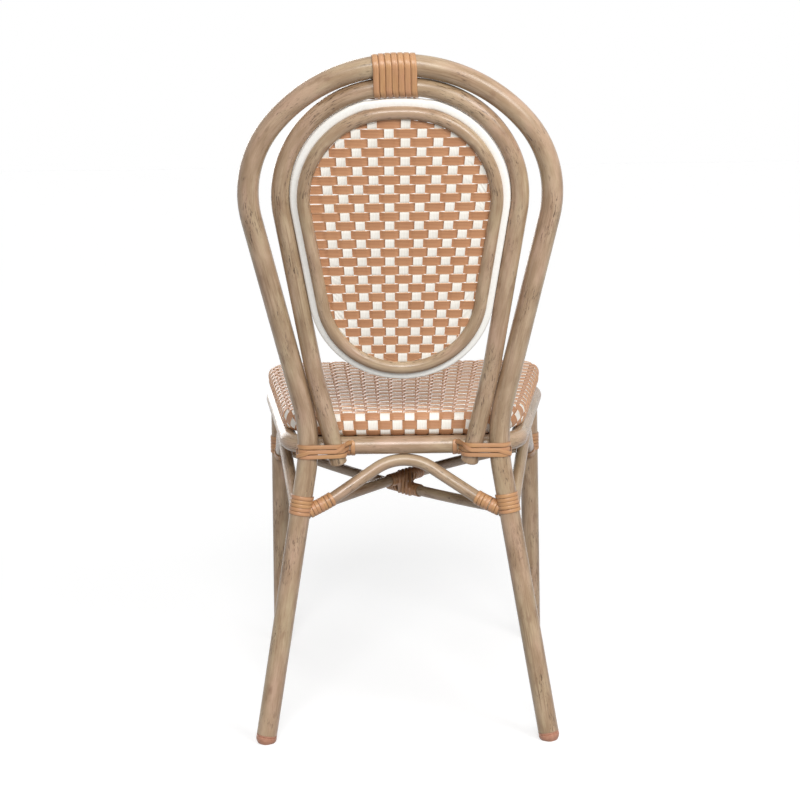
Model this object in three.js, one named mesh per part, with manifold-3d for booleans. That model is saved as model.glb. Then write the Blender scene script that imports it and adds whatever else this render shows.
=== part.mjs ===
// Bistro chair in bent aluminium tube painted like cane, with a woven oval back and a woven seat.
// Millimetres, +Z up. The sitter looks along -Y. The origin is on the floor under the middle of the chair.
import * as THREE from "three";
import { mergeVertices } from "three/addons/utils/BufferGeometryUtils.js";
import Module from "manifold-3d";

const wasm = await Module();
wasm.setup();

const DEGREE = Math.PI / 180;
const FULL_TURN = 2 * Math.PI;

// Gap left between pieces that touch, because they are welded, pressed in or wound on
const FIT = 0.3;

// Outside diameters of the tubes and rods, and the wall of the tubes
const HOOP_TUBE = 28;
const INNER_TUBE = 24;
const RAIL_TUBE = 25;
const FRONT_LEG_TUBE = 27;
const ARCH_TUBE = 17;
const BRACE_TUBE = 15;
const RING_ROD = 11;
const OVAL_TUBE = 17;
const TUBE_WALL = 2;

// The waist is where the outer hoop turns into the rear legs. The back leans from there.
const WAIST_HEIGHT = 421;
const WAIST_HALF = 124.8;
const WAIST_BEND = 200;
const BACK_LEAN = 13 * DEGREE;
const REAR_FOOT_HALF = 195.2;
const REAR_FOOT_BACK = 45.8;

// Hoops, measured up the leaning back from the waist to the centre line of the tube
const OUTER_HOOP = {
  top: 511.5,
  crown: 210,
  crownAngle: 49.8 * DEGREE,
  flank: 12.3 * DEGREE,
  waistHalf: WAIST_HALF,
};
const HOOP_GAP_AT_TOP = 1.6;
const INNER_HOOP_TOP = OUTER_HOOP.top - HOOP_TUBE / 2 - HOOP_GAP_AT_TOP - INNER_TUBE / 2;
const INNER_HOOP = {
  top: INNER_HOOP_TOP,
  crown: 289,
  crownAngle: 3.6 * DEGREE,
  flank: 8.7 * DEGREE,
  waistHalf: 104,
};
const INNER_HOOP_END_HEIGHT = 384;
const INNER_HOOP_BEND = 400;

// Woven oval. The ring fills the space between the inner hoop and the oval's tube, which stands to the rear.
const OVAL_BACK = 8;
const OVAL_BOTTOM = 102.5;
const PANEL_THICK = 5;

// Cane strips of the bindings
const STRIP_THICK = 1.6;
const STRIP_GAP = 0.9;
const TOP_STRIP = { width: 7, turns: 7, offset: 6 };
const REAR_STRIP = { width: 5, turns: 3, drop: 6, bowStart: 36, bowTurns: 2 };
const FRONT_STRIP = { width: 5, turns: 2, drop: 6, bowStart: 39, bowTurns: 2 };
const RAIL_STRIP = { width: 5.5, spread: 10, bend: 4.5 };
const CROSS_STRIP = { width: 5, turns: 3.5 };

// Seat
const SEAT_HEIGHT = 447;
const SEAT_EDGE_ROUND = 17;
const SEAT_OVERHANG = 8;
const SEAT_CROWN = 1.5;
const SEAT_CROWN_INSET = 70;
const RAIL_DEPTH = 394;
const RAIL_REAR_HALF = 154.3;
const RAIL_FRONT_HALF = 205.7;
const RAIL_REAR_CORNER = 32;
const RAIL_FRONT_CORNER = 60;

// Front legs stand under the front corners of the seat ring
const FRONT_LEG_SETBACK = 34.6;
const FRONT_LEG_SPLAY = 5.8;
const FRONT_LEG_RAKE = 10;
const LEG_SADDLE = 6.5;

// Stretchers: bows that touch the seat ring from below, and two crossed braces
const ARCH_BEND = 68;
const ARCH_END_HEIGHT = 303.5;
const BRACE_HEIGHT = 317;

// Foot glides, end plugs and seat screws
const GLIDE = { height: 12, stem: 14, tread: 9.5, tip: 3 };
const PLUG = { flange: 2.5, stem: 12 };
const SCREW = { shank: 5, head: 10, headHeight: 3, bite: 14, clearance: 0.3 };
const SCREW_SETBACKS = [95, 300];

// Fineness of the facets
const ARC_STEP = 7.5 * DEGREE;
const WIDE_SIDES = 12;
const NARROW_SIDES = 8;
const STRIP_STEPS = 16;
const CORNER_STEPS = 3;
const BRACE_STEPS = 6;
const SEAT_EDGE_STEPS = 8;
const HALVINGS = 16;
const MERGE_SHARE = 1 / 1000;

// Colours
const CANE_PAINT = new THREE.MeshStandardMaterial({ color: 0xb09b7c, roughness: 0.45, metalness: 0.1 });
const WHITE_CANE = new THREE.MeshStandardMaterial({ color: 0xf0eee8, roughness: 0.5, metalness: 0 });
const WOVEN_CANE = new THREE.MeshStandardMaterial({ color: 0xc8855c, roughness: 0.55, metalness: 0 });
const BINDING_CANE = new THREE.MeshStandardMaterial({ color: 0xcd8f5f, roughness: 0.5, metalness: 0 });
const GLIDE_PLASTIC = new THREE.MeshStandardMaterial({ color: 0xb98369, roughness: 0.6, metalness: 0 });
const ZINC = new THREE.MeshStandardMaterial({ color: 0xb8bcc0, roughness: 0.35, metalness: 0.9 });

const point = (x, y, z) => new THREE.Vector3(x, y, z);
const between = (a, b, share) => a.clone().lerp(b, share);
const mirror = (p) => point(-p.x, p.y, p.z);
const X_AXIS = point(1, 0, 0);
const Y_AXIS = point(0, 1, 0);
const Z_AXIS = point(0, 0, 1);

// Solids from rings of points, each ring joined to the next, capped at the ends or run round into a loop
function solidFromRings(rings, loop = false) {
  const sides = rings[0].length;
  const index = [];
  const joints = loop ? rings.length : rings.length - 1;
  for (let i = 0; i < joints; i++) {
    const a = i * sides;
    const b = ((i + 1) % rings.length) * sides;
    for (let j = 0; j < sides; j++) {
      const k = (j + 1) % sides;
      index.push(a + j, b + j, b + k, a + j, b + k, a + k);
    }
  }
  const end = (rings.length - 1) * sides;
  for (let j = 1; j < sides - 1 && !loop; j++) {
    index.push(0, j, j + 1, end, end + j + 1, end + j);
  }
  return facingOut(rings.flat(), index);
}

// A geometry whose triangles are turned to face out, whichever way the rings ran
function facingOut(points, index) {
  let volume = 0;
  for (let i = 0; i < index.length; i += 3) {
    const [a, b, c] = [points[index[i]], points[index[i + 1]], points[index[i + 2]]];
    volume += a.dot(b.clone().cross(c));
  }
  const facing = volume < 0 ? index.toReversed() : index;
  const geometry = new THREE.BufferGeometry().setFromPoints(points);
  geometry.setIndex(facing);
  return geometry;
}

// One round section square to a direction. Its first corner is turned by an angle from the side named by up.
function ringAt(centre, along, radius, up, sides, turn = 0) {
  const across = up.clone().cross(along).normalize();
  const top = along.clone().cross(across).normalize();
  return Array.from({ length: sides }, (_, j) => {
    const angle = turn + (j / sides) * FULL_TURN;
    const corner = centre.clone().addScaledVector(top, radius * Math.cos(angle));
    return corner.addScaledVector(across, radius * Math.sin(angle));
  });
}

// The direction of a path at one of its points, halfway between its runs in and out
function heading(path, i, loop) {
  const n = path.length;
  const before = loop ? path[(i + n - 1) % n] : path[Math.max(i - 1, 0)];
  const after = loop ? path[(i + 1) % n] : path[Math.min(i + 1, n - 1)];
  const runIn = path[i].clone().sub(before).normalize();
  return after.clone().sub(path[i]).normalize().add(runIn).normalize();
}

function tubeRings(path, radius, up, sides, loop = false, turn = 0) {
  return path.map((p, i) => ringAt(p, heading(path, i, loop), radius, up, sides, turn));
}

function tube(path, radius, up, sides, loop = false, turn = 0) {
  return solidFromRings(tubeRings(path, radius, up, sides, loop, turn), loop);
}

// A tube whose ends are bored to take a plug: the path's ends are sunk by the depth given for each
function boredTube(path, radius, up, sides, startDepth, endDepth) {
  const rings = tubeRings(path, radius, up, sides);
  const bore = radius - TUBE_WALL;
  const last = path.length - 1;
  const into = heading(path, 0, false);
  const out = heading(path, last, false);
  if (startDepth) {
    rings.unshift(ringAt(path[0], into, bore, up, sides));
    rings.unshift(ringAt(path[0].clone().addScaledVector(into, startDepth), into, bore, up, sides));
  }
  if (endDepth) {
    rings.push(ringAt(path[last], out, bore, up, sides));
    rings.push(ringAt(path[last].clone().addScaledVector(out, -endDepth), out, bore, up, sides));
  }
  return solidFromRings(rings);
}

// A turned piece on an axis: profile pairs of distance along the axis and radius
function turned(base, along, profile, up, sides) {
  const rings = profile.map(([distance, radius]) =>
    ringAt(base.clone().addScaledVector(along, distance), along, radius, up, sides));
  return solidFromRings(rings);
}

// Cutting one closed mesh by others. What is left in slivers is dropped.
function toSolid(geometry) {
  const merged = mergeVertices(geometry, FIT * MERGE_SHARE);
  const vertProperties = merged.attributes.position.array;
  const triVerts = new Uint32Array(merged.index.array);
  return new wasm.Manifold(new wasm.Mesh({ numProp: 3, vertProperties, triVerts }));
}

function cut(geometry, cutters) {
  let solid = toSolid(geometry);
  for (const cutter of cutters) {
    solid = solid.subtract(toSolid(cutter));
  }
  const pieces = solid.decompose().sort((a, b) => b.volume() - a.volume());
  const mesh = pieces[0].getMesh();
  const result = new THREE.BufferGeometry();
  result.setAttribute("position", new THREE.BufferAttribute(mesh.vertProperties, mesh.numProp));
  result.setIndex(new THREE.BufferAttribute(mesh.triVerts, 1));
  return result;
}

// Rounding of the corner between two straight runs, as points from one run to the other
function roundedCorner(from, corner, to, radius) {
  const a = from.clone().sub(corner).normalize();
  const b = to.clone().sub(corner).normalize();
  const half = Math.acos(a.dot(b)) / 2;
  const inward = a.clone().add(b).normalize();
  const centre = corner.clone().addScaledVector(inward, radius / Math.sin(half));
  const across = b.clone().sub(a).normalize();
  const turn = Math.PI - 2 * half;
  const steps = Math.max(2, Math.ceil(turn / ARC_STEP));
  return Array.from({ length: steps + 1 }, (_, i) => {
    const angle = turn * (i / steps - 1 / 2);
    const p = centre.clone().addScaledVector(inward, -radius * Math.cos(angle));
    return p.addScaledVector(across, radius * Math.sin(angle));
  });
}

// Points where a path that runs downwards reaches a height, or one that runs forwards reaches a depth
function reach(path, axis, value) {
  const i = path.findIndex((p, k) => k > 0 && p[axis] <= value && path[k - 1][axis] >= value);
  const [a, b] = [path[i - 1], path[i]];
  return between(a, b, (value - a[axis]) / (b[axis] - a[axis]));
}

// Back: a place on the leaning plane, or a distance behind it
function onBack(x, rise, behind = 0) {
  const y = rise * Math.sin(BACK_LEAN) + behind * Math.cos(BACK_LEAN);
  return point(x, y, WAIST_HEIGHT + rise * Math.cos(BACK_LEAN) - behind * Math.sin(BACK_LEAN));
}

function arc(x, rise, radius, from, to) {
  const steps = Math.max(1, Math.ceil((to - from) / ARC_STEP));
  return Array.from({ length: steps + 1 }, (_, i) => {
    const angle = from + ((to - from) * i) / steps;
    return new THREE.Vector2(x + radius * Math.sin(angle), rise + radius * Math.cos(angle));
  });
}

// Half of a hoop from its top down to its straight flank: a crown arc, then a shoulder arc whose radius
// follows from touching both
function hoopHalf({ top, crown, crownAngle, flank, waistHalf }) {
  const lean = Math.sin(crownAngle - flank);
  const flankReach = waistHalf * Math.cos(flank) + (top - crown) * Math.sin(flank);
  const shoulder = (flankReach - crown * lean) / (1 - lean);
  const x = (crown - shoulder) * Math.sin(crownAngle);
  const rise = top - crown + (crown - shoulder) * Math.cos(crownAngle);
  const crownArc = arc(0, top - crown, crown, 0, crownAngle);
  return [...crownArc, ...arc(x, rise, shoulder, crownAngle, Math.PI / 2 + flank).slice(1)];
}

// The same hoop moved in by a distance, and let down at its top by a little more
function insetHoop(hoop, distance, letDown = 0) {
  return {
    ...hoop,
    top: hoop.top - distance - letDown,
    crown: hoop.crown - distance,
    waistHalf: hoop.waistHalf - distance / Math.cos(hoop.flank),
  };
}

// Half of an oval: a hoop's half whose flanks are closed by one arc at the bottom
function ovalHalf(hoop, bottom) {
  const { flank, waistHalf } = hoop;
  const sine = Math.sin(flank);
  const radius = (waistHalf * Math.cos(flank) + bottom * sine) / (1 - sine);
  return [...hoopHalf(hoop), ...arc(0, bottom + radius, radius, Math.PI / 2 + flank, Math.PI)];
}

const bothSides = (half, from = 1) => [...half.slice(from).reverse().map(mirror), ...half];
const closedLoop = (half) => [...half, ...half.slice(1, -1).reverse().map(mirror)];

// Rear legs and outer hoop, in one bent tube
const rearFoot = point(REAR_FOOT_HALF, REAR_FOOT_BACK, 0);
const waist = point(WAIST_HALF, 0, WAIST_HEIGHT);
const rearLegUp = waist.clone().sub(rearFoot).normalize();
const rearLegEnd = rearFoot.clone().addScaledVector(rearLegUp, GLIDE.height);
const outerTop = hoopHalf(OUTER_HOOP).map((p) => onBack(p.x, p.y));
const outerHalf = [...outerTop, ...roundedCorner(outerTop.at(-1), waist, rearLegEnd, WAIST_BEND), rearLegEnd];
const backNormal = onBack(0, 0, 1).sub(onBack(0, 0));
const socketDepth = GLIDE.stem + FIT;

// Seat ring, behind whose rear rail the outer hoop stands
const seatEdgeOffset = SEAT_OVERHANG - SEAT_EDGE_ROUND;
const seatEdgeReach = SEAT_EDGE_ROUND + RAIL_TUBE / 2 + FIT;
const seatEdgeLift = Math.sqrt(seatEdgeReach ** 2 - seatEdgeOffset ** 2);
const railHeight = SEAT_HEIGHT - SEAT_EDGE_ROUND - seatEdgeLift;
const railRearY = reach(outerHalf, "z", railHeight).y - (HOOP_TUBE + RAIL_TUBE) / 2 - FIT;
const railFrontY = railRearY - RAIL_DEPTH;

function railCentreLine() {
  const rear = point(RAIL_REAR_HALF, railRearY, railHeight);
  const front = point(RAIL_FRONT_HALF, railFrontY, railHeight);
  const rearCorner = roundedCorner(mirror(rear), rear, front, RAIL_REAR_CORNER);
  const frontCorner = roundedCorner(rear, front, mirror(front), RAIL_FRONT_CORNER);
  return [...rearCorner, ...frontCorner];
}
const railHalf = railCentreLine();
const railLoop = [...railHalf, ...railHalf.toReversed().map(mirror)];

// Inner hoop: it leaves its own flanks where they meet the outer hoop, and ends below the rear rail
function innerHoopHalf() {
  const top = hoopHalf(INNER_HOOP);
  const { flank, waistHalf } = OUTER_HOOP;
  const spacing = (HOOP_TUBE + INNER_TUBE) / 2 + FIT;
  const besideWaist = waistHalf - spacing / Math.cos(flank);
  const meetRise = (INNER_HOOP.waistHalf - besideWaist) / (Math.tan(flank) - Math.tan(INNER_HOOP.flank));
  const meet = onBack(besideWaist + meetRise * Math.tan(flank), meetRise);
  const railContact = (RAIL_TUBE + INNER_TUBE) / 2 + FIT;
  const slope = (meet.y - railRearY - railContact) / (meet.z - railHeight);
  const clearOfRail = railRearY + railContact * Math.hypot(1, slope);
  const drop = INNER_HOOP_END_HEIGHT - railHeight;
  const endRise = (INNER_HOOP_END_HEIGHT - WAIST_HEIGHT) / Math.cos(BACK_LEAN);
  const endX = besideWaist + endRise * Math.tan(flank);
  const end = point(endX, clearOfRail + drop * slope, INNER_HOOP_END_HEIGHT);
  const shoulders = top.map((p) => onBack(p.x, p.y));
  return [...shoulders, ...roundedCorner(shoulders.at(-1), meet, end, INNER_HOOP_BEND), end];
}
const innerHalf = innerHoopHalf();

// White ring in the plane of the hoops, let down at the top for the binding to pass
const ringHoop = insetHoop(INNER_HOOP, (INNER_TUBE + RING_ROD) / 2 + FIT, STRIP_THICK + FIT * 2);
const ringToOval = Math.sqrt(((RING_ROD + OVAL_TUBE) / 2 + FIT) ** 2 - OVAL_BACK ** 2);
const ringToOvalTurn = Math.atan2(ringToOval, OVAL_BACK);
const ringHalf = ovalHalf(ringHoop, OVAL_BOTTOM - ringToOval).map((p) => onBack(p.x, p.y));

// Oval tube behind the ring, and the woven panel inside it
const ovalHoop = insetHoop(ringHoop, ringToOval);
const ovalTubeHalf = ovalHalf(ovalHoop, OVAL_BOTTOM).map((p) => onBack(p.x, p.y, OVAL_BACK));

function wovenPanel() {
  const inset = OVAL_TUBE / 2 + FIT;
  const outline = ovalHalf(insetHoop(ovalHoop, inset), OVAL_BOTTOM + inset);
  const half = PANEL_THICK / 2;
  const faces = [OVAL_BACK - half, OVAL_BACK + half].map((behind) =>
    closedLoop(outline.map((p) => onBack(p.x, p.y, behind))));
  return solidFromRings(faces);
}

// Front legs, saddled to the underside of the seat ring
const frontLegTop = reach(railHalf, "y", railFrontY + FRONT_LEG_SETBACK);
frontLegTop.z = railHeight - LEG_SADDLE;
const frontFoot = point(frontLegTop.x + FRONT_LEG_SPLAY, frontLegTop.y - FRONT_LEG_RAKE, 0);
const frontLegUp = frontLegTop.clone().sub(frontFoot).normalize();
const frontLegEnd = frontFoot.clone().addScaledVector(frontLegUp, GLIDE.height);

// Seat ring and the pieces that other pieces are cut to fit, each grown by the fit
function seatRing(grow) {
  return tube(railLoop, RAIL_TUBE / 2 + grow, Z_AXIS, WIDE_SIDES, true);
}
function rearFrame(grow) {
  return tube(bothSides(outerHalf), HOOP_TUBE / 2 + grow, backNormal, WIDE_SIDES);
}
function frontLeg(side, grow) {
  const path = [frontLegTop, frontLegEnd].map((p) => (side > 0 ? p : mirror(p)));
  return tube(path, FRONT_LEG_TUBE / 2 + grow, Y_AXIS, WIDE_SIDES);
}

// Bowed stretcher between two legs: straight arms and a round top that touches the seat ring from below
function bow(endA, endB, top) {
  const middle = between(endA, endB, 1 / 2);
  const span = endA.distanceTo(endB) / 2;
  const rise = top.distanceTo(middle);
  const reachToBend = Math.hypot(span, ARCH_BEND - rise);
  const slope = Math.asin(ARCH_BEND / reachToBend) - Math.atan2(ARCH_BEND - rise, span);
  const lift = ARCH_BEND / Math.cos(slope) - ARCH_BEND;
  const corner = top.clone().addScaledVector(top.clone().sub(middle).normalize(), lift);
  return [endA, ...roundedCorner(endA, corner, endB, ARCH_BEND), endB];
}
const archTopHeight = railHeight - (RAIL_TUBE + ARCH_TUBE) / 2 - FIT;
const onRearLeg = (height) => reach(outerHalf, "z", height);
const onFrontLeg = (height) => between(frontFoot, frontLegTop, height / frontLegTop.z);
const rearArchEnd = onRearLeg(ARCH_END_HEIGHT);
const frontArchEnd = onFrontLeg(ARCH_END_HEIGHT);
const sideArchTop = reach(railHalf, "y", (rearArchEnd.y + frontArchEnd.y) / 2);
sideArchTop.z = archTopHeight;
const archPaths = {
  rear: bow(rearArchEnd, mirror(rearArchEnd), point(0, railRearY, archTopHeight)),
  front: bow(frontArchEnd, mirror(frontArchEnd), point(0, railFrontY, archTopHeight)),
  left: bow(rearArchEnd, frontArchEnd, sideArchTop),
  right: bow(mirror(rearArchEnd), mirror(frontArchEnd), mirror(sideArchTop)),
};
function arch(name, grow) {
  const [endA, endB] = [archPaths[name][0], archPaths[name].at(-1)];
  const up = endB.clone().sub(endA).cross(Z_AXIS).normalize();
  return tube(archPaths[name], ARCH_TUBE / 2 + grow, up, NARROW_SIDES);
}

// Crossed braces from each rear leg to the front leg opposite, bent a little to pass over and under
function bracePath(side, lift) {
  const from = onRearLeg(BRACE_HEIGHT);
  const to = mirror(onFrontLeg(BRACE_HEIGHT));
  return Array.from({ length: BRACE_STEPS + 1 }, (_, i) => {
    const p = between(from, to, i / BRACE_STEPS);
    p.z += lift * Math.sin((Math.PI * i) / BRACE_STEPS);
    return side > 0 ? p : mirror(p);
  });
}
const crossShare = WAIST_HALF / (WAIST_HALF + frontFoot.x);
const braceLift = (BRACE_TUBE / 2 + FIT) / Math.sin(Math.PI * crossShare);
const braceRiseAtLegs = braceLift * Math.sin((Math.PI * HOOP_TUBE) / RAIL_DEPTH);
const braceOver = bracePath(1, braceLift);
const braceUnder = bracePath(-1, -braceLift);
const brace = (path) => tube(path, BRACE_TUBE / 2, Z_AXIS, NARROW_SIDES);

// Seat screws stand in the side rails and bite into the seat
const screwPlaces = SCREW_SETBACKS.flatMap((setback) => {
  const p = reach(railHalf, "y", railRearY - setback);
  return [p, mirror(p)];
});
const screwHeadTop = railHeight - RAIL_TUBE / 2 - FIT;
const screwTip = railHeight + RAIL_TUBE / 2 + SCREW.bite;
function seatScrew(place) {
  const base = point(place.x, place.y, screwHeadTop - SCREW.headHeight);
  const length = screwTip - base.z;
  const [head, shank] = [SCREW.head / 2, SCREW.shank / 2];
  const profile = [
    [0, head - SCREW.headHeight / 3],
    [SCREW.headHeight / 2, head],
    [SCREW.headHeight, head],
    [SCREW.headHeight, shank],
    [length - SCREW.shank, shank],
    [length, shank / 3],
  ];
  return turned(base, Z_AXIS, profile, Y_AXIS, NARROW_SIDES);
}
function screwHole(place) {
  const base = point(place.x, place.y, screwHeadTop - SCREW.head);
  const length = screwTip + FIT - base.z;
  const radius = SCREW.shank / 2 + SCREW.clearance;
  return turned(base, Z_AXIS, [[0, radius], [length, radius]], Y_AXIS, NARROW_SIDES);
}
const screwHoles = screwPlaces.map(screwHole);

// Seat: a crowned pad with half-round edges, resting on the ring all the way round
function seatPad() {
  const centreHeight = SEAT_HEIGHT - SEAT_EDGE_ROUND;
  const outline = (outset, height) => railLoop.map((p, i) => {
    const outward = heading(railLoop, i, true).cross(Z_AXIS).negate();
    const moved = p.clone().addScaledVector(outward, outset);
    moved.z = height;
    return moved;
  });
  const rings = Array.from({ length: SEAT_EDGE_STEPS + 1 }, (_, i) => {
    const angle = Math.PI * (i / SEAT_EDGE_STEPS - 1 / 2);
    const inset = SEAT_EDGE_ROUND * (1 - Math.cos(angle));
    return outline(SEAT_OVERHANG - inset, centreHeight + SEAT_EDGE_ROUND * Math.sin(angle));
  });
  rings.push(outline(SEAT_OVERHANG - SEAT_EDGE_ROUND - SEAT_CROWN_INSET, SEAT_HEIGHT + SEAT_CROWN));
  return cut(solidFromRings(rings), screwHoles);
}

// Foot glide: a stem pressed into the leg and a rounded tread that is flat on the floor
function glide(foot, up, radius) {
  const bore = radius - TUBE_WALL - FIT;
  const profile = [
    [-GLIDE.tip, GLIDE.tread],
    [GLIDE.tip, radius - GLIDE.tip / 2],
    [GLIDE.tip * 2, radius],
    [GLIDE.height - FIT, radius],
    [GLIDE.height - FIT, bore],
    [GLIDE.height + GLIDE.stem, bore],
  ];
  const body = turned(foot, up, profile, Y_AXIS, WIDE_SIDES);
  const floor = turned(foot, Z_AXIS, [[-HOOP_TUBE, HOOP_TUBE], [0, HOOP_TUBE]], Y_AXIS, NARROW_SIDES);
  return cut(body, [floor]);
}

// Plug in the open lower end of the inner hoop
function hoopPlug(side) {
  const end = innerHalf.at(-1);
  const up = innerHalf.at(-2).clone().sub(end).normalize();
  const radius = INNER_TUBE / 2;
  const bore = radius - TUBE_WALL - FIT;
  const profile = [
    [-PLUG.flange - FIT, radius - PLUG.flange / 2],
    [-PLUG.flange / 2 - FIT, radius],
    [-FIT, radius],
    [-FIT, bore],
    [PLUG.stem, bore],
  ];
  const place = side > 0 ? [end, up] : [mirror(end), mirror(up)];
  return turned(place[0], place[1], profile, Y_AXIS, WIDE_SIDES);
}

// Windings. A strip of cane lies on a bundle of members and climbs along it as it goes round.
// bundle(a) gives, at a place along the bundle, the origin, two axes across it, and for each member
// the centre and the two half-widths of its section.
const STEP_STRETCH = 1 / Math.cos(Math.PI / STRIP_STEPS);
const STRIP_LIFT = (FIT + STRIP_THICK / 2) * STEP_STRETCH;
const roundSection = (x, y, radius) => ({ x, y, halfU: radius, halfV: radius });

// How far a section reaches in the direction of an angle, and where it does
function support({ x, y, halfU, halfV }, angle) {
  const [cosine, sine] = [Math.cos(angle), Math.sin(angle)];
  const reachOut = Math.hypot(halfU * cosine, halfV * sine);
  const [u, v] = reachOut ? [(halfU ** 2 * cosine) / reachOut, (halfV ** 2 * sine) / reachOut] : [0, 0];
  return { distance: x * cosine + y * sine + reachOut, u: x + u * STEP_STRETCH, v: y + v * STEP_STRETCH };
}
function outermost(sections, angle) {
  const distances = sections.map((section) => support(section, angle).distance);
  return distances.indexOf(Math.max(...distances));
}

// One point of a strip's route: its centre, the direction it faces and the member it lies on
function routePoint({ origin, u, v, sections }, number, angle) {
  const touch = support(sections[number], angle);
  const normal = u.clone().multiplyScalar(Math.cos(angle)).addScaledVector(v, Math.sin(angle));
  const p = origin.clone().addScaledVector(u, touch.u).addScaledVector(v, touch.v);
  return { p: p.addScaledVector(normal, STRIP_LIFT), normal, member: number };
}

// The angle at which a strip passes from one member to the next, found by halving
function passingAngle(sections, number, onIt, pastIt) {
  let [near, far] = [onIt, pastIt];
  for (let i = 0; i < HALVINGS; i++) {
    const middle = (near + far) / 2;
    [near, far] = outermost(sections, middle) === number ? [middle, far] : [near, middle];
  }
  return near;
}

function wind(bundle, { from, to, startAngle, endAngle }) {
  const steps = Math.max(1, Math.ceil((Math.abs(endAngle - startAngle) / FULL_TURN) * STRIP_STEPS));
  const route = [];
  let angleBefore = startAngle;
  for (let i = 0; i <= steps; i++) {
    const angle = startAngle + ((endAngle - startAngle) * i) / steps;
    const frame = bundle(from + ((to - from) * i) / steps);
    const number = outermost(frame.sections, angle);
    const before = route.at(-1)?.member ?? number;
    if (before !== number) {
      const passing = passingAngle(frame.sections, before, angleBefore, angle);
      route.push(routePoint(frame, before, passing), routePoint(frame, number, passing));
    }
    route.push(routePoint(frame, number, angle));
    angleBefore = angle;
  }
  return route;
}

// The strip itself: a flat six-cornered section swept along the route
function strip(route, width) {
  const path = route.map((r) => r.p);
  const section = [[-1, 0], [-3 / 4, 1], [3 / 4, 1], [1, 0], [3 / 4, -1], [-3 / 4, -1]];
  return solidFromRings(route.map(({ p, normal }, i) => {
    const along = heading(path, i, false);
    const side = along.clone().cross(normal).normalize();
    const out = side.clone().cross(along).normalize();
    return section.map(([s, o]) =>
      p.clone().addScaledVector(side, (s * width) / 2).addScaledVector(out, (o * STRIP_THICK) / 2));
  }));
}

// The least distance between turns of a winding, measured on the corners of its sections
function leastGap(route, width) {
  const apart = STRIP_STEPS / 2;
  const path = route.map((r) => r.p);
  const rings = route.map(({ p, normal }, i) => {
    const along = heading(path, i, false);
    const side = along.clone().cross(normal).normalize();
    return [-1, 0, 1].map((s) => p.clone().addScaledVector(side, (s * width) / 2));
  });
  let least = Infinity;
  for (let i = 0; i < rings.length; i++) {
    for (let j = i + apart; j < rings.length; j++) {
      for (const a of rings[i]) {
        for (const b of rings[j]) least = Math.min(least, a.distanceTo(b));
      }
    }
  }
  return least;
}

// A straight or bent member as a bundle of one: the place along it is a distance from its first point
function member(path, radius, up) {
  return (distance) => {
    let left = distance;
    let i = 1;
    while (i < path.length - 1 && left > path[i].distanceTo(path[i - 1])) {
      left -= path[i].distanceTo(path[i - 1]);
      i++;
    }
    const along = path[i].clone().sub(path[i - 1]).normalize();
    const u = up.clone().cross(along).normalize();
    const origin = path[i - 1].clone().addScaledVector(along, left);
    return { origin, u, v: along.clone().cross(u), sections: [roundSection(0, 0, radius)] };
  };
}

// Binding round both hoops at the top. Its turns stand upright, so they cut the hoops at a slant.
function topBinding() {
  const backUp = onBack(0, 1).sub(onBack(0, 0));
  const onCrown = (half, x) => {
    const i = half.findIndex((p) => p.x >= Math.abs(x));
    const run = half[i].clone().sub(half[i - 1]);
    const p = between(half[i - 1], half[i], (Math.abs(x) - half[i - 1].x) / run.x);
    return { p: point(x, p.y, p.z), stretch: run.length() / run.x };
  };
  const bundle = (x) => {
    const [outer, inner] = [onCrown(outerTop, x), onCrown(innerHalf, x)];
    const drop = outer.p.distanceTo(inner.p);
    const sections = [
      { x: 0, y: 0, halfU: HOOP_TUBE / 2, halfV: (HOOP_TUBE / 2) * outer.stretch },
      { x: 0, y: -drop, halfU: INNER_TUBE / 2, halfV: (INNER_TUBE / 2) * inner.stretch },
    ];
    return { origin: outer.p, u: backNormal, v: backUp, sections };
  };
  const half = ((TOP_STRIP.width + STRIP_GAP) * TOP_STRIP.turns) / 2;
  const startAngle = -Math.PI / 2;
  return wind(bundle, {
    from: TOP_STRIP.offset - half,
    to: TOP_STRIP.offset + half,
    startAngle,
    endAngle: startAngle + TOP_STRIP.turns * FULL_TURN,
  });
}

// How far along a path its point at a height lies
function lengthTo(path, height) {
  const below = path.findIndex((p, k) => k > 0 && p.z <= height && path[k - 1].z >= height);
  const whole = [...path.slice(0, below), reach(path, "z", height)];
  return whole.slice(1).reduce((sum, p, k) => sum + p.distanceTo(whole[k]), 0);
}

// Lashing of a leg to the bow that ends in it. The strip winds down the leg above the stretchers,
// crosses to the bow on the side that is given, and winds on round the bow.
function lashing({ legPath, legRadius, bowPath, side }, { width, turns, drop, bowStart, bowTurns }) {
  const pitch = width + STRIP_GAP;
  const leg = member(legPath, legRadius, side);
  const bowMember = member(bowPath, ARCH_TUBE / 2, side);
  const lowest = BRACE_HEIGHT + braceRiseAtLegs + (BRACE_TUBE + width) / 2 + STRIP_THICK;
  const lowTurn = lengthTo(legPath, lowest);
  const farSide = (3 / 4) * FULL_TURN;
  const legFrame = leg(lowTurn + drop);
  const toBow = bowMember(bowStart).origin.sub(legFrame.origin);
  const [bowU, bowV] = [toBow.dot(legFrame.u), toBow.dot(legFrame.v)];
  const leave = Math.atan2(bowV, bowU) + Math.acos((legRadius - ARCH_TUBE / 2) / Math.hypot(bowU, bowV));
  const arrive = FULL_TURN / 4;
  return [
    ...wind(leg, {
      from: lowTurn - pitch * turns,
      to: lowTurn,
      startAngle: farSide + turns * FULL_TURN,
      endAngle: farSide,
    }),
    ...wind(leg, { from: lowTurn, to: lowTurn + drop, startAngle: farSide, endAngle: leave }).slice(1),
    ...wind(bowMember, {
      from: bowStart,
      to: bowStart + pitch * bowTurns,
      startAngle: arrive,
      endAngle: arrive + bowTurns * FULL_TURN,
    }),
  ];
}
const rearJoint = {
  legPath: outerHalf,
  legRadius: HOOP_TUBE / 2,
  bowPath: archPaths.rear,
  side: Y_AXIS,
};
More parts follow.
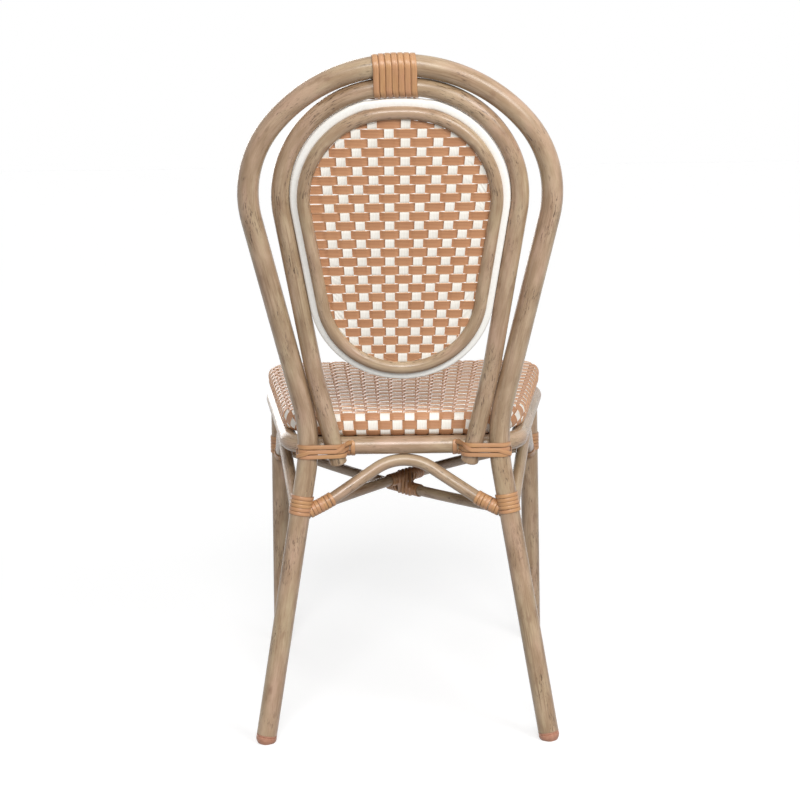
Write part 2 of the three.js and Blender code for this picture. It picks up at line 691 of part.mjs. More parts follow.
const frontJoint = {
  legPath: [frontLegTop, frontLegEnd],
  legRadius: FRONT_LEG_TUBE / 2,
  bowPath: archPaths.left.toReversed(),
  side: X_AXIS,
};

// Lashing of both hoops to the rear rail. The strip comes round the rail from the front, crosses the
// hoops' rear faces, turns back on the outer hoop's far side, crosses lower down and goes round the rail.
const QUARTER = FULL_TURN / 4;
const TUCKED_ANGLE = QUARTER * (3 + 1 / 3);
const railRadius = (RAIL_TUBE / 2) * STEP_STRETCH + STRIP_LIFT;

function railPoint(x, angle) {
  const normal = point(0, Math.sin(angle), Math.cos(angle));
  return { p: point(x, railRearY, railHeight).addScaledVector(normal, railRadius), normal };
}

// Round the rail at one place, from the tucked end up to a flat corner that faces the crossing
function roundRail(x, level) {
  const { bend } = RAIL_STRIP;
  const turnStart = level + bend / railRadius;
  const steps = Math.ceil(((TUCKED_ANGLE - turnStart) / FULL_TURN) * STRIP_STEPS);
  const wrap = Array.from({ length: steps }, (_, i) =>
    railPoint(x, TUCKED_ANGLE + ((turnStart - TUCKED_ANGLE) * i) / steps));
  const corner = Array.from({ length: CORNER_STEPS + 1 }, (_, i) => {
    const angle = (QUARTER * i) / CORNER_STEPS;
    return railPoint(x + bend * (1 - Math.cos(angle)), level + (bend / railRadius) * (1 - Math.sin(angle)));
  });
  return [...wrap, ...corner];
}

// What a level strip must clear on a tube that leans
function leaning(half, height, radius) {
  const i = half.findIndex((p, k) => k > 0 && p.z <= height);
  const along = half[i - 1].clone().sub(half[i]).normalize();
  const lean = Math.acos(along.z);
  const p = reach(half, "z", height);
  const reachOut = radius / Math.cos(lean) + (RAIL_STRIP.width / 2) * Math.tan(lean);
  return roundSection(p.x, p.y - railRearY, reachOut);
}

// Across the rear faces at one height, from the far side of the outer hoop to where the strip leaves
const farSideAngle = QUARTER / 4;
function crossing(height, railX) {
  const sections = [
    leaning(outerHalf, height, HOOP_TUBE / 2),
    leaning(innerHalf, height, INNER_TUBE / 2),
    roundSection(railX, RAIL_TUBE / 2, 0),
  ];
  const bundle = () => ({ origin: point(0, railRearY, height), u: X_AXIS, v: Y_AXIS, sections });
  const route = wind(bundle, { from: 0, to: 0, startAngle: farSideAngle, endAngle: QUARTER * 2 });
  return route.slice(0, route.findIndex((r) => r.member === 2));
}

function railBinding() {
  const { width, spread, bend } = RAIL_STRIP;
  const half = spread / 2;
  const tilt = Math.asin(half / railRadius);
  const innerSide = leaning(innerHalf, railHeight, INNER_TUBE / 2);
  const lowerX = innerSide.x - innerSide.halfU - FIT - STRIP_GAP - width / 2 - bend;
  const upperX = lowerX - width - STRIP_GAP;
  const turnSteps = CORNER_STEPS * 2;
  const turnBack = Array.from({ length: turnSteps - 1 }, (_, i) => {
    const turn = (Math.PI * (i + 1)) / turnSteps;
    const height = railHeight + half * Math.cos(turn);
    const section = leaning(outerHalf, height, HOOP_TUBE / 2);
    const angle = farSideAngle - (half / section.halfU) * Math.sin(turn);
    const frame = { origin: point(0, railRearY, height), u: X_AXIS, v: Y_AXIS, sections: [section] };
    return routePoint(frame, 0, angle);
  });
  return [
    ...roundRail(upperX, QUARTER - tilt),
    ...crossing(railHeight + half, upperX + bend).reverse(),
    ...turnBack,
    ...crossing(railHeight - half, lowerX + bend),
    ...roundRail(lowerX, QUARTER + tilt).reverse(),
  ];
}

// Binding over the crossing of the braces, which it meets at a slant
function crossBinding() {
  const braceAt = (path, x) => {
    const i = path.findIndex((p, k) => k > 0 && (p.x - x) * (path[k - 1].x - x) <= 0);
    return between(path[i - 1], path[i], (x - path[i - 1].x) / (path[i].x - path[i - 1].x));
  };
  const direction = braceOver.at(-1).clone().sub(braceOver[0]).normalize();
  const slant = Math.abs(direction.y / direction.x);
  const halfU = (BRACE_TUBE / 2) * Math.hypot(1, slant) + (CROSS_STRIP.width / 2) * slant;
  const bundle = (x) => {
    const [over, under] = [braceAt(braceOver, x), braceAt(braceUnder, x)];
    const origin = between(over, under, 1 / 2);
    const sections = [over, under].map((p) =>
      ({ x: p.y - origin.y, y: p.z - origin.z, halfU, halfV: BRACE_TUBE / 2 + FIT }));
    return { origin, u: Y_AXIS, v: Z_AXIS, sections };
  };
  const half = ((CROSS_STRIP.width + STRIP_GAP) * CROSS_STRIP.turns) / 2;
  return wind(bundle, { from: -half, to: half, startAngle: 0, endAngle: CROSS_STRIP.turns * FULL_TURN });
}

// The chair
const chair = new THREE.Group();
function add(name, geometry, material) {
  geometry.computeVertexNormals();
  const mesh = new THREE.Mesh(geometry, material);
  mesh.name = name;
  chair.add(mesh);
}
function addBinding(name, route, width) {
  add(name, strip(route, width), BINDING_CANE);
  console.log(name + " least gap between turns " + leastGap(route, width).toFixed(2) + " mm");
}
const mirrored = (route) => route.map(({ p, normal }) => ({ p: mirror(p), normal: mirror(normal) }));

const hoopRadius = HOOP_TUBE / 2;
function hoop(half, radius, depth) {
  return boredTube(bothSides(half), radius, backNormal, WIDE_SIDES, depth, depth);
}
add("rear_leg_back_hoop", hoop(outerHalf, hoopRadius, socketDepth), CANE_PAINT);
add("inner_back_hoop", hoop(innerHalf, INNER_TUBE / 2, PLUG.stem + FIT), CANE_PAINT);
const ovalRound = (half, diameter) =>
  tube(closedLoop(half), diameter / 2, backNormal, NARROW_SIDES, true, ringToOvalTurn);
add("white_back_ring", ovalRound(ringHalf, RING_ROD), WHITE_CANE);
add("oval_back_frame", ovalRound(ovalTubeHalf, OVAL_TUBE), CANE_PAINT);
add("back_weave_panel", wovenPanel(), WOVEN_CANE);
add("seat_ring", cut(seatRing(0), screwHoles), CANE_PAINT);
add("seat_pad", seatPad(), WOVEN_CANE);

for (const [side, name] of [[1, "left"], [-1, "right"]]) {
  const place = (p) => (side > 0 ? p.clone() : mirror(p));
  const legPath = [frontLegTop, frontLegEnd].map(place);
  const leg = boredTube(legPath, FRONT_LEG_TUBE / 2, Y_AXIS, WIDE_SIDES, 0, socketDepth);
  add("front_leg_" + name, cut(leg, [seatRing(FIT)]), CANE_PAINT);
  add("rear_foot_glide_" + name, glide(place(rearFoot), place(rearLegUp), hoopRadius), GLIDE_PLASTIC);
  const frontGlide = glide(place(frontFoot), place(frontLegUp), FRONT_LEG_TUBE / 2);
  add("front_foot_glide_" + name, frontGlide, GLIDE_PLASTIC);
  add("inner_hoop_plug_" + name, hoopPlug(side), GLIDE_PLASTIC);
}

const legsGrown = [rearFrame(FIT), frontLeg(1, FIT), frontLeg(-1, FIT)];
add("rear_arch", cut(arch("rear", 0), legsGrown), CANE_PAINT);
add("front_arch", cut(arch("front", 0), legsGrown), CANE_PAINT);
const archesGrown = [arch("rear", FIT), arch("front", FIT)];
add("side_arch_left", cut(arch("left", 0), [...legsGrown, ...archesGrown]), CANE_PAINT);
add("side_arch_right", cut(arch("right", 0), [...legsGrown, ...archesGrown]), CANE_PAINT);
const stretchersGrown = [...legsGrown, ...archesGrown, arch("left", FIT), arch("right", FIT)];
add("cross_brace_over", cut(brace(braceOver), stretchersGrown), CANE_PAINT);
add("cross_brace_under", cut(brace(braceUnder), stretchersGrown), CANE_PAINT);

addBinding("top_binding", topBinding(), TOP_STRIP.width);
addBinding("rear_leg_binding_left", lashing(rearJoint, REAR_STRIP), REAR_STRIP.width);
addBinding("rear_leg_binding_right", mirrored(lashing(rearJoint, REAR_STRIP)), REAR_STRIP.width);
addBinding("front_leg_binding_left", lashing(frontJoint, FRONT_STRIP), FRONT_STRIP.width);
addBinding("front_leg_binding_right", mirrored(lashing(frontJoint, FRONT_STRIP)), FRONT_STRIP.width);
addBinding("rail_binding_left", railBinding(), RAIL_STRIP.width);
addBinding("rail_binding_right", mirrored(railBinding()), RAIL_STRIP.width);
addBinding("cross_binding", crossBinding(), CROSS_STRIP.width);

screwPlaces.forEach((place, i) => add("seat_screw_" + (i + 1), seatScrew(place), ZINC));

// The middle of the chair's box goes over the origin
const box = new THREE.Box3().setFromObject(chair, true);
chair.position.y = -(box.min.y + box.max.y) / 2;

export default chair;
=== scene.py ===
"""Looks of the bistro chair: painted cane tube, woven oval back, woven seat and cane bindings.

Lengths are worked out in millimetres in the part's own frame, whose y is 0 at the waist of the
rear tube, and become metres in the shared frame when a mesh is made.
"""

import math
import random

import bpy
import numpy as np
from mathutils import Matrix, Vector


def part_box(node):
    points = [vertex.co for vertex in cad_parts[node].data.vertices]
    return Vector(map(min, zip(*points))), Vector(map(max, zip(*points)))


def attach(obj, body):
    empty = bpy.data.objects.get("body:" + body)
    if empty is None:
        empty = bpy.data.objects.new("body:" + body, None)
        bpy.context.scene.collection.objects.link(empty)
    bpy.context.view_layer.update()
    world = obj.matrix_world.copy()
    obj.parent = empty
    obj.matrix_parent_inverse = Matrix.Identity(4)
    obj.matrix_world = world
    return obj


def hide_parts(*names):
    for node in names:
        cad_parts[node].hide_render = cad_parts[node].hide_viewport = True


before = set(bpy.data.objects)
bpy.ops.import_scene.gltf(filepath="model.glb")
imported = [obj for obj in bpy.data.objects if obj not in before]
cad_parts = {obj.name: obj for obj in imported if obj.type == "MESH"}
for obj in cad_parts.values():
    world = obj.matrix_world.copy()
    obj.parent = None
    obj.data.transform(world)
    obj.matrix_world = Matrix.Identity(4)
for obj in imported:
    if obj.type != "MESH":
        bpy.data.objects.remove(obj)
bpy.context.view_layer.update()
random.seed(7)

MM = 0.001
TINY = 1e-12
TURN = 2 * math.pi
QUARTER = math.pi / 2
X_AXIS = Vector((1, 0, 0))
Y_AXIS = Vector((0, 1, 0))
Z_AXIS = Vector((0, 0, 1))
SIDES = ((1, "left"), (-1, "right"))

# Sizes of the part in millimetres, the same as in its CAD source
FIT = 0.3
HOOP_TUBE = 28
INNER_TUBE = 24
RAIL_TUBE = 25
FRONT_LEG_TUBE = 27
ARCH_TUBE = 17
BRACE_TUBE = 15
RING_ROD = 11
OVAL_TUBE = 17
WAIST_HEIGHT = 421
WAIST_HALF = 124.8
WAIST_BEND = 200
BACK_LEAN = math.radians(13)
REAR_FOOT = Vector((195.2, 45.8, 0))
OUTER_HOOP = {"top": 511.5, "crown": 210, "crown_angle": math.radians(49.8),
              "flank": math.radians(12.3), "waist_half": WAIST_HALF}
HOOP_GAP_AT_TOP = 1.6
INNER_HOOP = {"top": OUTER_HOOP["top"] - (HOOP_TUBE + INNER_TUBE) / 2 - HOOP_GAP_AT_TOP,
              "crown": 289, "crown_angle": math.radians(3.6),
              "flank": math.radians(8.7), "waist_half": 104}
INNER_HOOP_END_HEIGHT = 384
INNER_HOOP_BEND = 400
OVAL_BACK = 8
OVAL_BOTTOM = 102.5
STRIP_THICK = 1.6
SEAT_HEIGHT = 447
SEAT_EDGE_ROUND = 17
SEAT_OVERHANG = 8
SEAT_CROWN = 1.5
SEAT_CROWN_INSET = 70
RAIL_DEPTH = 394
RAIL_REAR_HALF = 154.3
RAIL_FRONT_HALF = 205.7
RAIL_REAR_CORNER = 32
RAIL_FRONT_CORNER = 60
FRONT_LEG_SETBACK = 34.6
FRONT_LEG_SPLAY = 5.8
FRONT_LEG_RAKE = 10
LEG_SADDLE = 6.5
ARCH_BEND = 68
ARCH_END_HEIGHT = 303.5
BRACE_HEIGHT = 317
GLIDE_HEIGHT = 12

# Fineness of the curves
ARC_STEP = math.radians(2)
TUBE_SIDES = 40
ROD_SIDES = 28
SHARP_EDGE = math.radians(42)
POINTS_APART = FIT / 10
TURNS_APART = FIT / 3

# Each piece's grain starts anywhere in so many metres
TUBE_GRAIN = 5
STRAND_GRAIN = 3


# Curves

def mirror(p, side=-1):
    """The place at the other side of the chair, or the same one where side is 1."""
    return Vector((side * p.x, p.y, p.z))


def flip(path, side=-1):
    return [mirror(p, side) for p in path]


def in_back_plane(x, rise, behind):
    """A place on the leaning plane of the back, or a distance from it towards the rear."""
    sine, cosine = math.sin(BACK_LEAN), math.cos(BACK_LEAN)
    return x, rise * sine + behind * cosine, WAIST_HEIGHT + rise * cosine - behind * sine


def on_back(x, rise, behind=0.0):
    return Vector(in_back_plane(x, rise, behind))


BACK_NORMAL = on_back(0, 0, 1) - on_back(0, 0)
BACK_UP = on_back(0, 1) - on_back(0, 0)


def arc(x, rise, radius, start, end):
    steps = max(1, math.ceil((end - start) / ARC_STEP))
    angles = [start + (end - start) * i / steps for i in range(steps + 1)]
    return [Vector((x + radius * math.sin(a), rise + radius * math.cos(a))) for a in angles]


def hoop_half(hoop):
    """Half of a hoop: a crown arc, then a shoulder arc down to the straight flank."""
    top, crown, angle, flank = hoop["top"], hoop["crown"], hoop["crown_angle"], hoop["flank"]
    lean = math.sin(angle - flank)
    reach_out = hoop["waist_half"] * math.cos(flank) + (top - crown) * math.sin(flank)
    shoulder = (reach_out - crown * lean) / (1 - lean)
    x = (crown - shoulder) * math.sin(angle)
    rise = top - crown + (crown - shoulder) * math.cos(angle)
    return arc(0, top - crown, crown, 0, angle) + arc(x, rise, shoulder, angle, QUARTER + flank)[1:]


def inset_hoop(hoop, distance, let_down=0.0):
    return {**hoop, "top": hoop["top"] - distance - let_down, "crown": hoop["crown"] - distance,
            "waist_half": hoop["waist_half"] - distance / math.cos(hoop["flank"])}


def oval_half(hoop, bottom):
    sine = math.sin(hoop["flank"])
    radius = (hoop["waist_half"] * math.cos(hoop["flank"]) + bottom * sine) / (1 - sine)
    return hoop_half(hoop) + arc(0, bottom + radius, radius, QUARTER + hoop["flank"], math.pi)


def rounded_corner(start, corner, end, radius):
    a = (start - corner).normalized()
    b = (end - corner).normalized()
    half = math.acos(a.dot(b)) / 2
    inward = (a + b).normalized()
    centre = corner + inward * (radius / math.sin(half))
    across = (b - a).normalized()
    turn = math.pi - 2 * half
    steps = max(2, math.ceil(turn / ARC_STEP))
    angles = [turn * (i / steps - 0.5) for i in range(steps + 1)]
    return [centre - inward * (radius * math.cos(t)) + across * (radius * math.sin(t)) for t in angles]


def step_over(path, axis, value):
    """The two points of a path between which it passes a value on an axis."""
    for a, b in zip(path, path[1:]):
        if (a[axis] - value) * (b[axis] - value) <= 0:
            return a, b
    raise ValueError("the path doesn't reach that value")


def reach(path, axis, value):
    """Where a path passes a value on an axis."""
    a, b = step_over(path, axis, value)
    return a.lerp(b, (value - a[axis]) / (b[axis] - a[axis]))


def both_sides(half):
    return flip(reversed(half[1:])) + list(half)


def closed_loop(half):
    return list(half) + flip(reversed(half[1:-1]))


# Rear tube, seat ring, inner hoop, ring and oval
waist = Vector((WAIST_HALF, 0, WAIST_HEIGHT))
rear_leg_up = (waist - REAR_FOOT).normalized()
rear_leg_end = REAR_FOOT + rear_leg_up * GLIDE_HEIGHT
outer_top = [on_back(p.x, p.y) for p in hoop_half(OUTER_HOOP)]
outer_half = outer_top + rounded_corner(outer_top[-1], waist, rear_leg_end, WAIST_BEND) + [rear_leg_end]

seat_edge_offset = SEAT_OVERHANG - SEAT_EDGE_ROUND
seat_edge_lift = math.sqrt((SEAT_EDGE_ROUND + RAIL_TUBE / 2 + FIT) ** 2 - seat_edge_offset ** 2)
rail_height = SEAT_HEIGHT - SEAT_EDGE_ROUND - seat_edge_lift
rail_rear_y = reach(outer_half, 2, rail_height).y - (HOOP_TUBE + RAIL_TUBE) / 2 - FIT
rail_front_y = rail_rear_y - RAIL_DEPTH
rail_rear = Vector((RAIL_REAR_HALF, rail_rear_y, rail_height))
rail_front = Vector((RAIL_FRONT_HALF, rail_front_y, rail_height))


def rail_side(rear_corner, front_corner):
    """The left side of a line round the seat: its rear corner, and then its front one."""
    return (rounded_corner(mirror(rail_rear), rail_rear, rail_front, rear_corner)
            + rounded_corner(rail_rear, rail_front, mirror(rail_front), front_corner))


def rail_loop(rear_corner, front_corner):
    side = rail_side(rear_corner, front_corner)
    return side + flip(reversed(side))


rail_half = rail_side(RAIL_REAR_CORNER, RAIL_FRONT_CORNER)

# The part's frame is moved along y so that the chair's box is centred
SHIFT_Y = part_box("seat_ring")[1].y / MM - RAIL_TUBE / 2 - rail_rear_y


def inner_hoop_half():
    top = hoop_half(INNER_HOOP)
    flank = OUTER_HOOP["flank"]
    spacing = (HOOP_TUBE + INNER_TUBE) / 2 + FIT
    beside_waist = WAIST_HALF - spacing / math.cos(flank)
    meet_rise = (INNER_HOOP["waist_half"] - beside_waist) / (math.tan(flank) - math.tan(INNER_HOOP["flank"]))
    meet = on_back(beside_waist + meet_rise * math.tan(flank), meet_rise)
    contact = (RAIL_TUBE + INNER_TUBE) / 2 + FIT
    slope = (meet.y - rail_rear_y - contact) / (meet.z - rail_height)
    clear = rail_rear_y + contact * math.hypot(1, slope)
    height = INNER_HOOP_END_HEIGHT
    end_x = beside_waist + (height - WAIST_HEIGHT) / math.cos(BACK_LEAN) * math.tan(flank)
    end = Vector((end_x, clear + (height - rail_height) * slope, height))
    shoulders = [on_back(p.x, p.y) for p in top]
    return shoulders + rounded_corner(shoulders[-1], meet, end, INNER_HOOP_BEND) + [end]


inner_half = inner_hoop_half()
ring_hoop = inset_hoop(INNER_HOOP, (INNER_TUBE + RING_ROD) / 2 + FIT, STRIP_THICK + FIT * 2)
ring_to_oval = math.sqrt(((RING_ROD + OVAL_TUBE) / 2 + FIT) ** 2 - OVAL_BACK ** 2)
oval_hoop = inset_hoop(ring_hoop, ring_to_oval)

# Front legs and stretchers
front_leg_top = reach(rail_half, 1, rail_front_y + FRONT_LEG_SETBACK)
front_leg_top.z = rail_height - LEG_SADDLE
front_foot = Vector((front_leg_top.x + FRONT_LEG_SPLAY, front_leg_top.y - FRONT_LEG_RAKE, 0))
front_leg_up = (front_leg_top - front_foot).normalized()
front_leg_end = front_foot + front_leg_up * GLIDE_HEIGHT


def bow(end_a, end_b, top):
    """Straight arms and a round top that touches the seat ring from below."""
    middle = (end_a + end_b) / 2
    span = (end_b - end_a).length / 2
    rise = (top - middle).length
    reach_out = math.hypot(span, ARCH_BEND - rise)
    slope = math.asin(ARCH_BEND / reach_out) - math.atan2(ARCH_BEND - rise, span)
    lift = ARCH_BEND / math.cos(slope) - ARCH_BEND
    corner = top + (top - middle).normalized() * lift
    return [end_a] + rounded_corner(end_a, corner, end_b, ARCH_BEND) + [end_b]


def on_front_leg(height):
    return front_foot.lerp(front_leg_top, height / front_leg_top.z)


arch_top_height = rail_height - (RAIL_TUBE + ARCH_TUBE) / 2 - FIT
rear_arch_end = reach(outer_half, 2, ARCH_END_HEIGHT)
front_arch_end = on_front_leg(ARCH_END_HEIGHT)
side_arch_top = reach(rail_half, 1, (rear_arch_end.y + front_arch_end.y) / 2)
side_arch_top.z = arch_top_height
rear_bow = bow(rear_arch_end, mirror(rear_arch_end), Vector((0, rail_rear_y, arch_top_height)))
front_bow = bow(front_arch_end, mirror(front_arch_end), Vector((0, rail_front_y, arch_top_height)))
left_bow = bow(rear_arch_end, front_arch_end, side_arch_top)

BRACE_STEPS = 40
brace_rear = reach(outer_half, 2, BRACE_HEIGHT)
brace_front = mirror(on_front_leg(BRACE_HEIGHT))
cross_share = WAIST_HALF / (WAIST_HALF + front_foot.x)
brace_lift = (BRACE_TUBE / 2 + FIT) / math.sin(math.pi * cross_share)


def brace_path(lift):
    shares = [i / BRACE_STEPS for i in range(BRACE_STEPS + 1)]
    return [brace_rear.lerp(brace_front, t) + Z_AXIS * (lift * math.sin(math.pi * t)) for t in shares]


brace_over = brace_path(brace_lift)
brace_under = flip(brace_path(-brace_lift))


# Meshes

def added(name, data):
    """A new object in the scene."""
    made = bpy.data.objects.new(name, data)
    bpy.context.scene.collection.objects.link(made)
    return made


def unit(vectors):
    return vectors / np.maximum(np.linalg.norm(vectors, axis=-1, keepdims=True), TINY)


def repeated(rings):
    """Rings with their first column once more at the end."""
    return np.concatenate([rings, rings[:, :1]], axis=1)


class Mesh:
    """Points, faces and one grain vector per face corner, gathered until they become one object."""

    def __init__(self):
        self.points, self.corners, self.counts, self.grain = [], [], [], []

    def loft(self, rings, grain, loop=False):
        """Rings of points joined one to the next, capped where they don't close. Grain has one column
        more than the rings, and one row more where they close."""
        rings, grain = np.asarray(rings, float), np.asarray(grain, float)
        rows, sides = rings.shape[:2]
        points = rings.reshape(-1, 3)
        i, j = np.meshgrid(np.arange(rows if loop else rows - 1), np.arange(sides), indexing="ij")
        near, far, k = i * sides, (i + 1) % rows * sides, (j + 1) % sides
        quads = np.stack([near + j, near + k, far + k, far + j], -1).reshape(-1, 4)
        tint = np.stack([grain[i, j], grain[i, j + 1], grain[i + 1, j + 1], grain[i + 1, j]], 2)
        a, b, c, d = (points[quads[:, n]] for n in range(4))
        volume = ((a - points.mean(0)) * np.cross(c - a, d - b)).sum()
        step = 1 if volume > 0 else -1
        base = sum(len(p) for p in self.points)
        self.points.append(points)
        self.corners.append(base + quads[:, ::step].ravel())
        self.grain.append(tint.reshape(-1, 4, 3)[:, ::step].reshape(-1, 3))
        self.counts.append(np.full(len(quads), 4))
        if not loop:
            for row, turn in ((0, np.arange(sides)[::-step]), (rows - 1, np.arange(sides)[::step])):
                self.corners.append(base + row * sides + turn)
                self.grain.append(grain[row, turn])
                self.counts.append([sides])

    def make(self, name, material, replaced=None):
        points = (np.concatenate(self.points) + (0, SHIFT_Y, 0)) * MM
        corners, counts = np.concatenate(self.corners), np.concatenate(self.counts)
        data = bpy.data.meshes.new(name)
        data.vertices.add(len(points))
        data.vertices.foreach_set("co", points.astype(np.float32).ravel())
        data.loops.add(len(corners))
        data.loops.foreach_set("vertex_index", corners.astype(np.int32))
        data.polygons.add(len(counts))
        data.polygons.foreach_set("loop_start", (np.cumsum(counts) - counts).astype(np.int32))
        data.update(calc_edges=True)
        attribute = data.attributes.new("grain", "FLOAT_VECTOR", "CORNER")
        attribute.data.foreach_set("vector", np.concatenate(self.grain).astype(np.float32).ravel())
        data.materials.append(material)
        data.validate()
        data.shade_smooth()
        data.set_sharp_from_angle(angle=SHARP_EDGE)
        made = added(name, data)
        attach(made, "root")
        if replaced:
            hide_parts(replaced)
        return made


def headings(path, loop=False):
    """The direction of a path at each of its points."""
    path = np.asarray(path, float)
    ahead = unit(np.roll(path, -1, 0) - path)
    before = np.roll(ahead, 1, 0)
    if not loop:
        ahead[-1], before[0] = ahead[-2], ahead[0]
    return unit(ahead + before)


def travelled(path, loop=False):
    """The length of a path up to each of its points, and once round where it closes."""
    path = np.asarray(path, float)
    if loop:
        path = np.vstack([path, path[:1]])
    return np.concatenate([[0], np.cumsum(np.linalg.norm(np.diff(path, axis=0), axis=1))])


def clean(path, loop=False):
    """The path without points that lie on the one before."""
    kept = [path[0]]
    for p in path[1:]:
        if (p - kept[-1]).length > POINTS_APART:
            kept.append(p)
    if loop and (kept[-1] - kept[0]).length < POINTS_APART:
        kept.pop()
    return kept


def swept(path, across, out, section):
    """A section, as pairs of places across and out, carried along a path."""
    section = np.asarray(section, float)
    return path[:, None] + across[:, None] * section[None, :, :1] + out[:, None] * section[None, :, 1:]


def circle(sides, across, out=None, squareness=1.0):
    """Points round a circle, an ellipse, or one with flatter faces where squareness is under 1."""
    angles = TURN * np.arange(sides) / sides
    shape = np.column_stack([np.sin(angles), np.cos(angles)])
    return np.sign(shape) * np.abs(shape) ** squareness * (across, out or across)


def round_grain(section, lengths, start=0.0):
    """Grain of a round piece: its section, and the length along it, in metres."""
    grain = np.empty((len(lengths), len(section) + 1, 3))
    grain[..., :2] = np.vstack([section, section[:1]]) * MM
    grain[..., 2] = lengths[:, None] * MM + start
    return grain


def flat_grain(sides, lengths):
    """Grain of a flat strand: the place across it, its own tone, and the length along it in metres."""
    grain = np.empty((len(lengths), len(sides) + 1, 3))
    grain[..., 0] = np.append(sides, sides[0])
    grain[..., 1] = random.random()
    grain[..., 2] = lengths[:, None] * MM + random.uniform(0, STRAND_GRAIN)
    return grain


def tube(mesh, path, radius, up, sides=TUBE_SIDES, loop=False, ends=(None, None), deep=None, squareness=1.0):
    """A round tube, or one with another half depth in the direction of up. An end may be a function
    that moves the points of its last ring, such as a saddle. A loop's grain runs up and back."""
    path = np.array(clean(path, loop), float)
    along = headings(path, loop)
    across = unit(np.cross(np.array(up), along))
    section = circle(sides, radius, deep, squareness)
    rings = swept(path, across, np.cross(along, across), section)
    for place, cut in zip((0, -1), ends):
        if cut:
            direction = Vector(along[place]) * (1 if place else -1)
            rings[place] = [cut(Vector(p), direction) for p in rings[place]]
    lengths = travelled(path, loop)
    if loop:
        lengths = lengths[-1] / 2 - np.abs(lengths - lengths[-1] / 2)
    mesh.loft(rings, round_grain(section, lengths, random.uniform(0, TUBE_GRAIN)), loop)
    return rings


def saddle(axis_point, axis, radius):
    """Moves a point along a direction until it lies on a cylinder."""
    def move(p, direction):
        offset = p - axis_point
        offset -= axis * offset.dot(axis)
        run = direction - axis * direction.dot(axis)
        a, b, c = run.dot(run), 2 * run.dot(offset), offset.dot(offset) - radius ** 2
        root = math.sqrt(max(b * b - 4 * a * c, 0))
        return p + direction * ((-b - root) / (2 * a))
    return move


def turned(mesh, base, along, profile):
    """A turned piece on an axis, from pairs of distance along it and radius. It stays above the floor."""
    across = np.array(Y_AXIS.cross(along).normalized())
    top = np.cross(np.array(along), across)
    distances, radii = np.array(profile, float).T
    around = circle(TUBE_SIDES, 1)
    centres = np.array(base) + np.outer(distances, along)
    rings = centres[:, None] + radii[:, None, None] * (around[:, :1] * across + around[:, 1:] * top)
    rings[..., 2] = np.maximum(rings[..., 2], 0)
    mesh.loft(rings, repeated(rings) * MM)


# Materials

# Depths of relief in metres, and how a flat strand is ribbed: how fast the sine of its ridges turns
# from its middle to its edge, and where its rim begins
TUBE_RELIEF = 0.00025
STRAND_RELIEF = 0.0002
PLASTIC_RELIEF = 0.00006
RIDGE_TURN = 19
RIM = 0.9

# The screen's curve of light: straight near black, then a power
SCREEN_LEVELS = 255
SCREEN_START = 0.04045
SCREEN_SLOPE = 12.92
SCREEN_OFFSET = 0.055
SCREEN_POWER = 2.4


def linear(*levels):
    """A colour as seen on screen, 0 to 255, as the light that a shader takes."""
    def light_of(share):
        if share <= SCREEN_START:
            return share / SCREEN_SLOPE
        return ((share + SCREEN_OFFSET) / (1 + SCREEN_OFFSET)) ** SCREEN_POWER
    return tuple(light_of(level / SCREEN_LEVELS) for level in levels) + (1,)


GREIGE = linear(184, 162, 131)
ROSY_GREIGE = linear(186, 154, 130)
BRUSHED_BROWN = linear(153, 125, 96)
STREAK_BROWN = linear(126, 98, 70)
SMUDGE_BROWN = linear(128, 96, 72)
MARK_BROWN = linear(70, 50, 32)
LIGHT_CANE = linear(202, 155, 108)
DARK_CANE = linear(170, 122, 80)
ROSY_CANE = linear(190, 137, 106)
# Painted shade for the edges of the binding cane, where its turns meet
CANE_EDGE_SHADE = linear(126, 80, 50)


def grey(level):
    return level, level, level, 1


class Nodes:
    """A short way to write the nodes of a material or of the world."""

    def __init__(self, owner):
        owner.use_nodes = True
        self.owner = owner
        self.tree = owner.node_tree

    def put(self, value, socket):
        """Gives a socket a value, or links another node's output to it."""
        if isinstance(value, bpy.types.NodeSocket):
            self.tree.links.new(value, socket)
        else:
            socket.default_value = value

    def node(self, kind, inputs, **settings):
        made = self.tree.nodes.new(kind)
        for key, value in settings.items():
            setattr(made, key, value)
        for key, value in inputs.items():
            self.put(value, made.inputs[key])
        return made

    def math(self, operation, a, b=0.0):
        return self.node("ShaderNodeMath", {0: a, 1: b}, operation=operation).outputs[0]

    def times(self, first, *others):
        for other in others:
            first = self.math("MULTIPLY", first, other)
        return first

    def mix(self, factor, a, b, blend="MIX"):
        inputs = {0: factor, 6: a, 7: b}
        return self.node("ShaderNodeMix", inputs, data_type="RGBA", blend_type=blend).outputs[2]

    def ramp(self, value, low, high, first=0.0, last=1.0):
        """Goes evenly from the first level to the last while a value goes from low to high."""
        made = self.node("ShaderNodeValToRGB", {"Fac": value})
        for element, place, level in zip(made.color_ramp.elements, (low, high), (first, last)):
            element.position = place
            element.color = grey(level)
        return made.outputs["Color"]


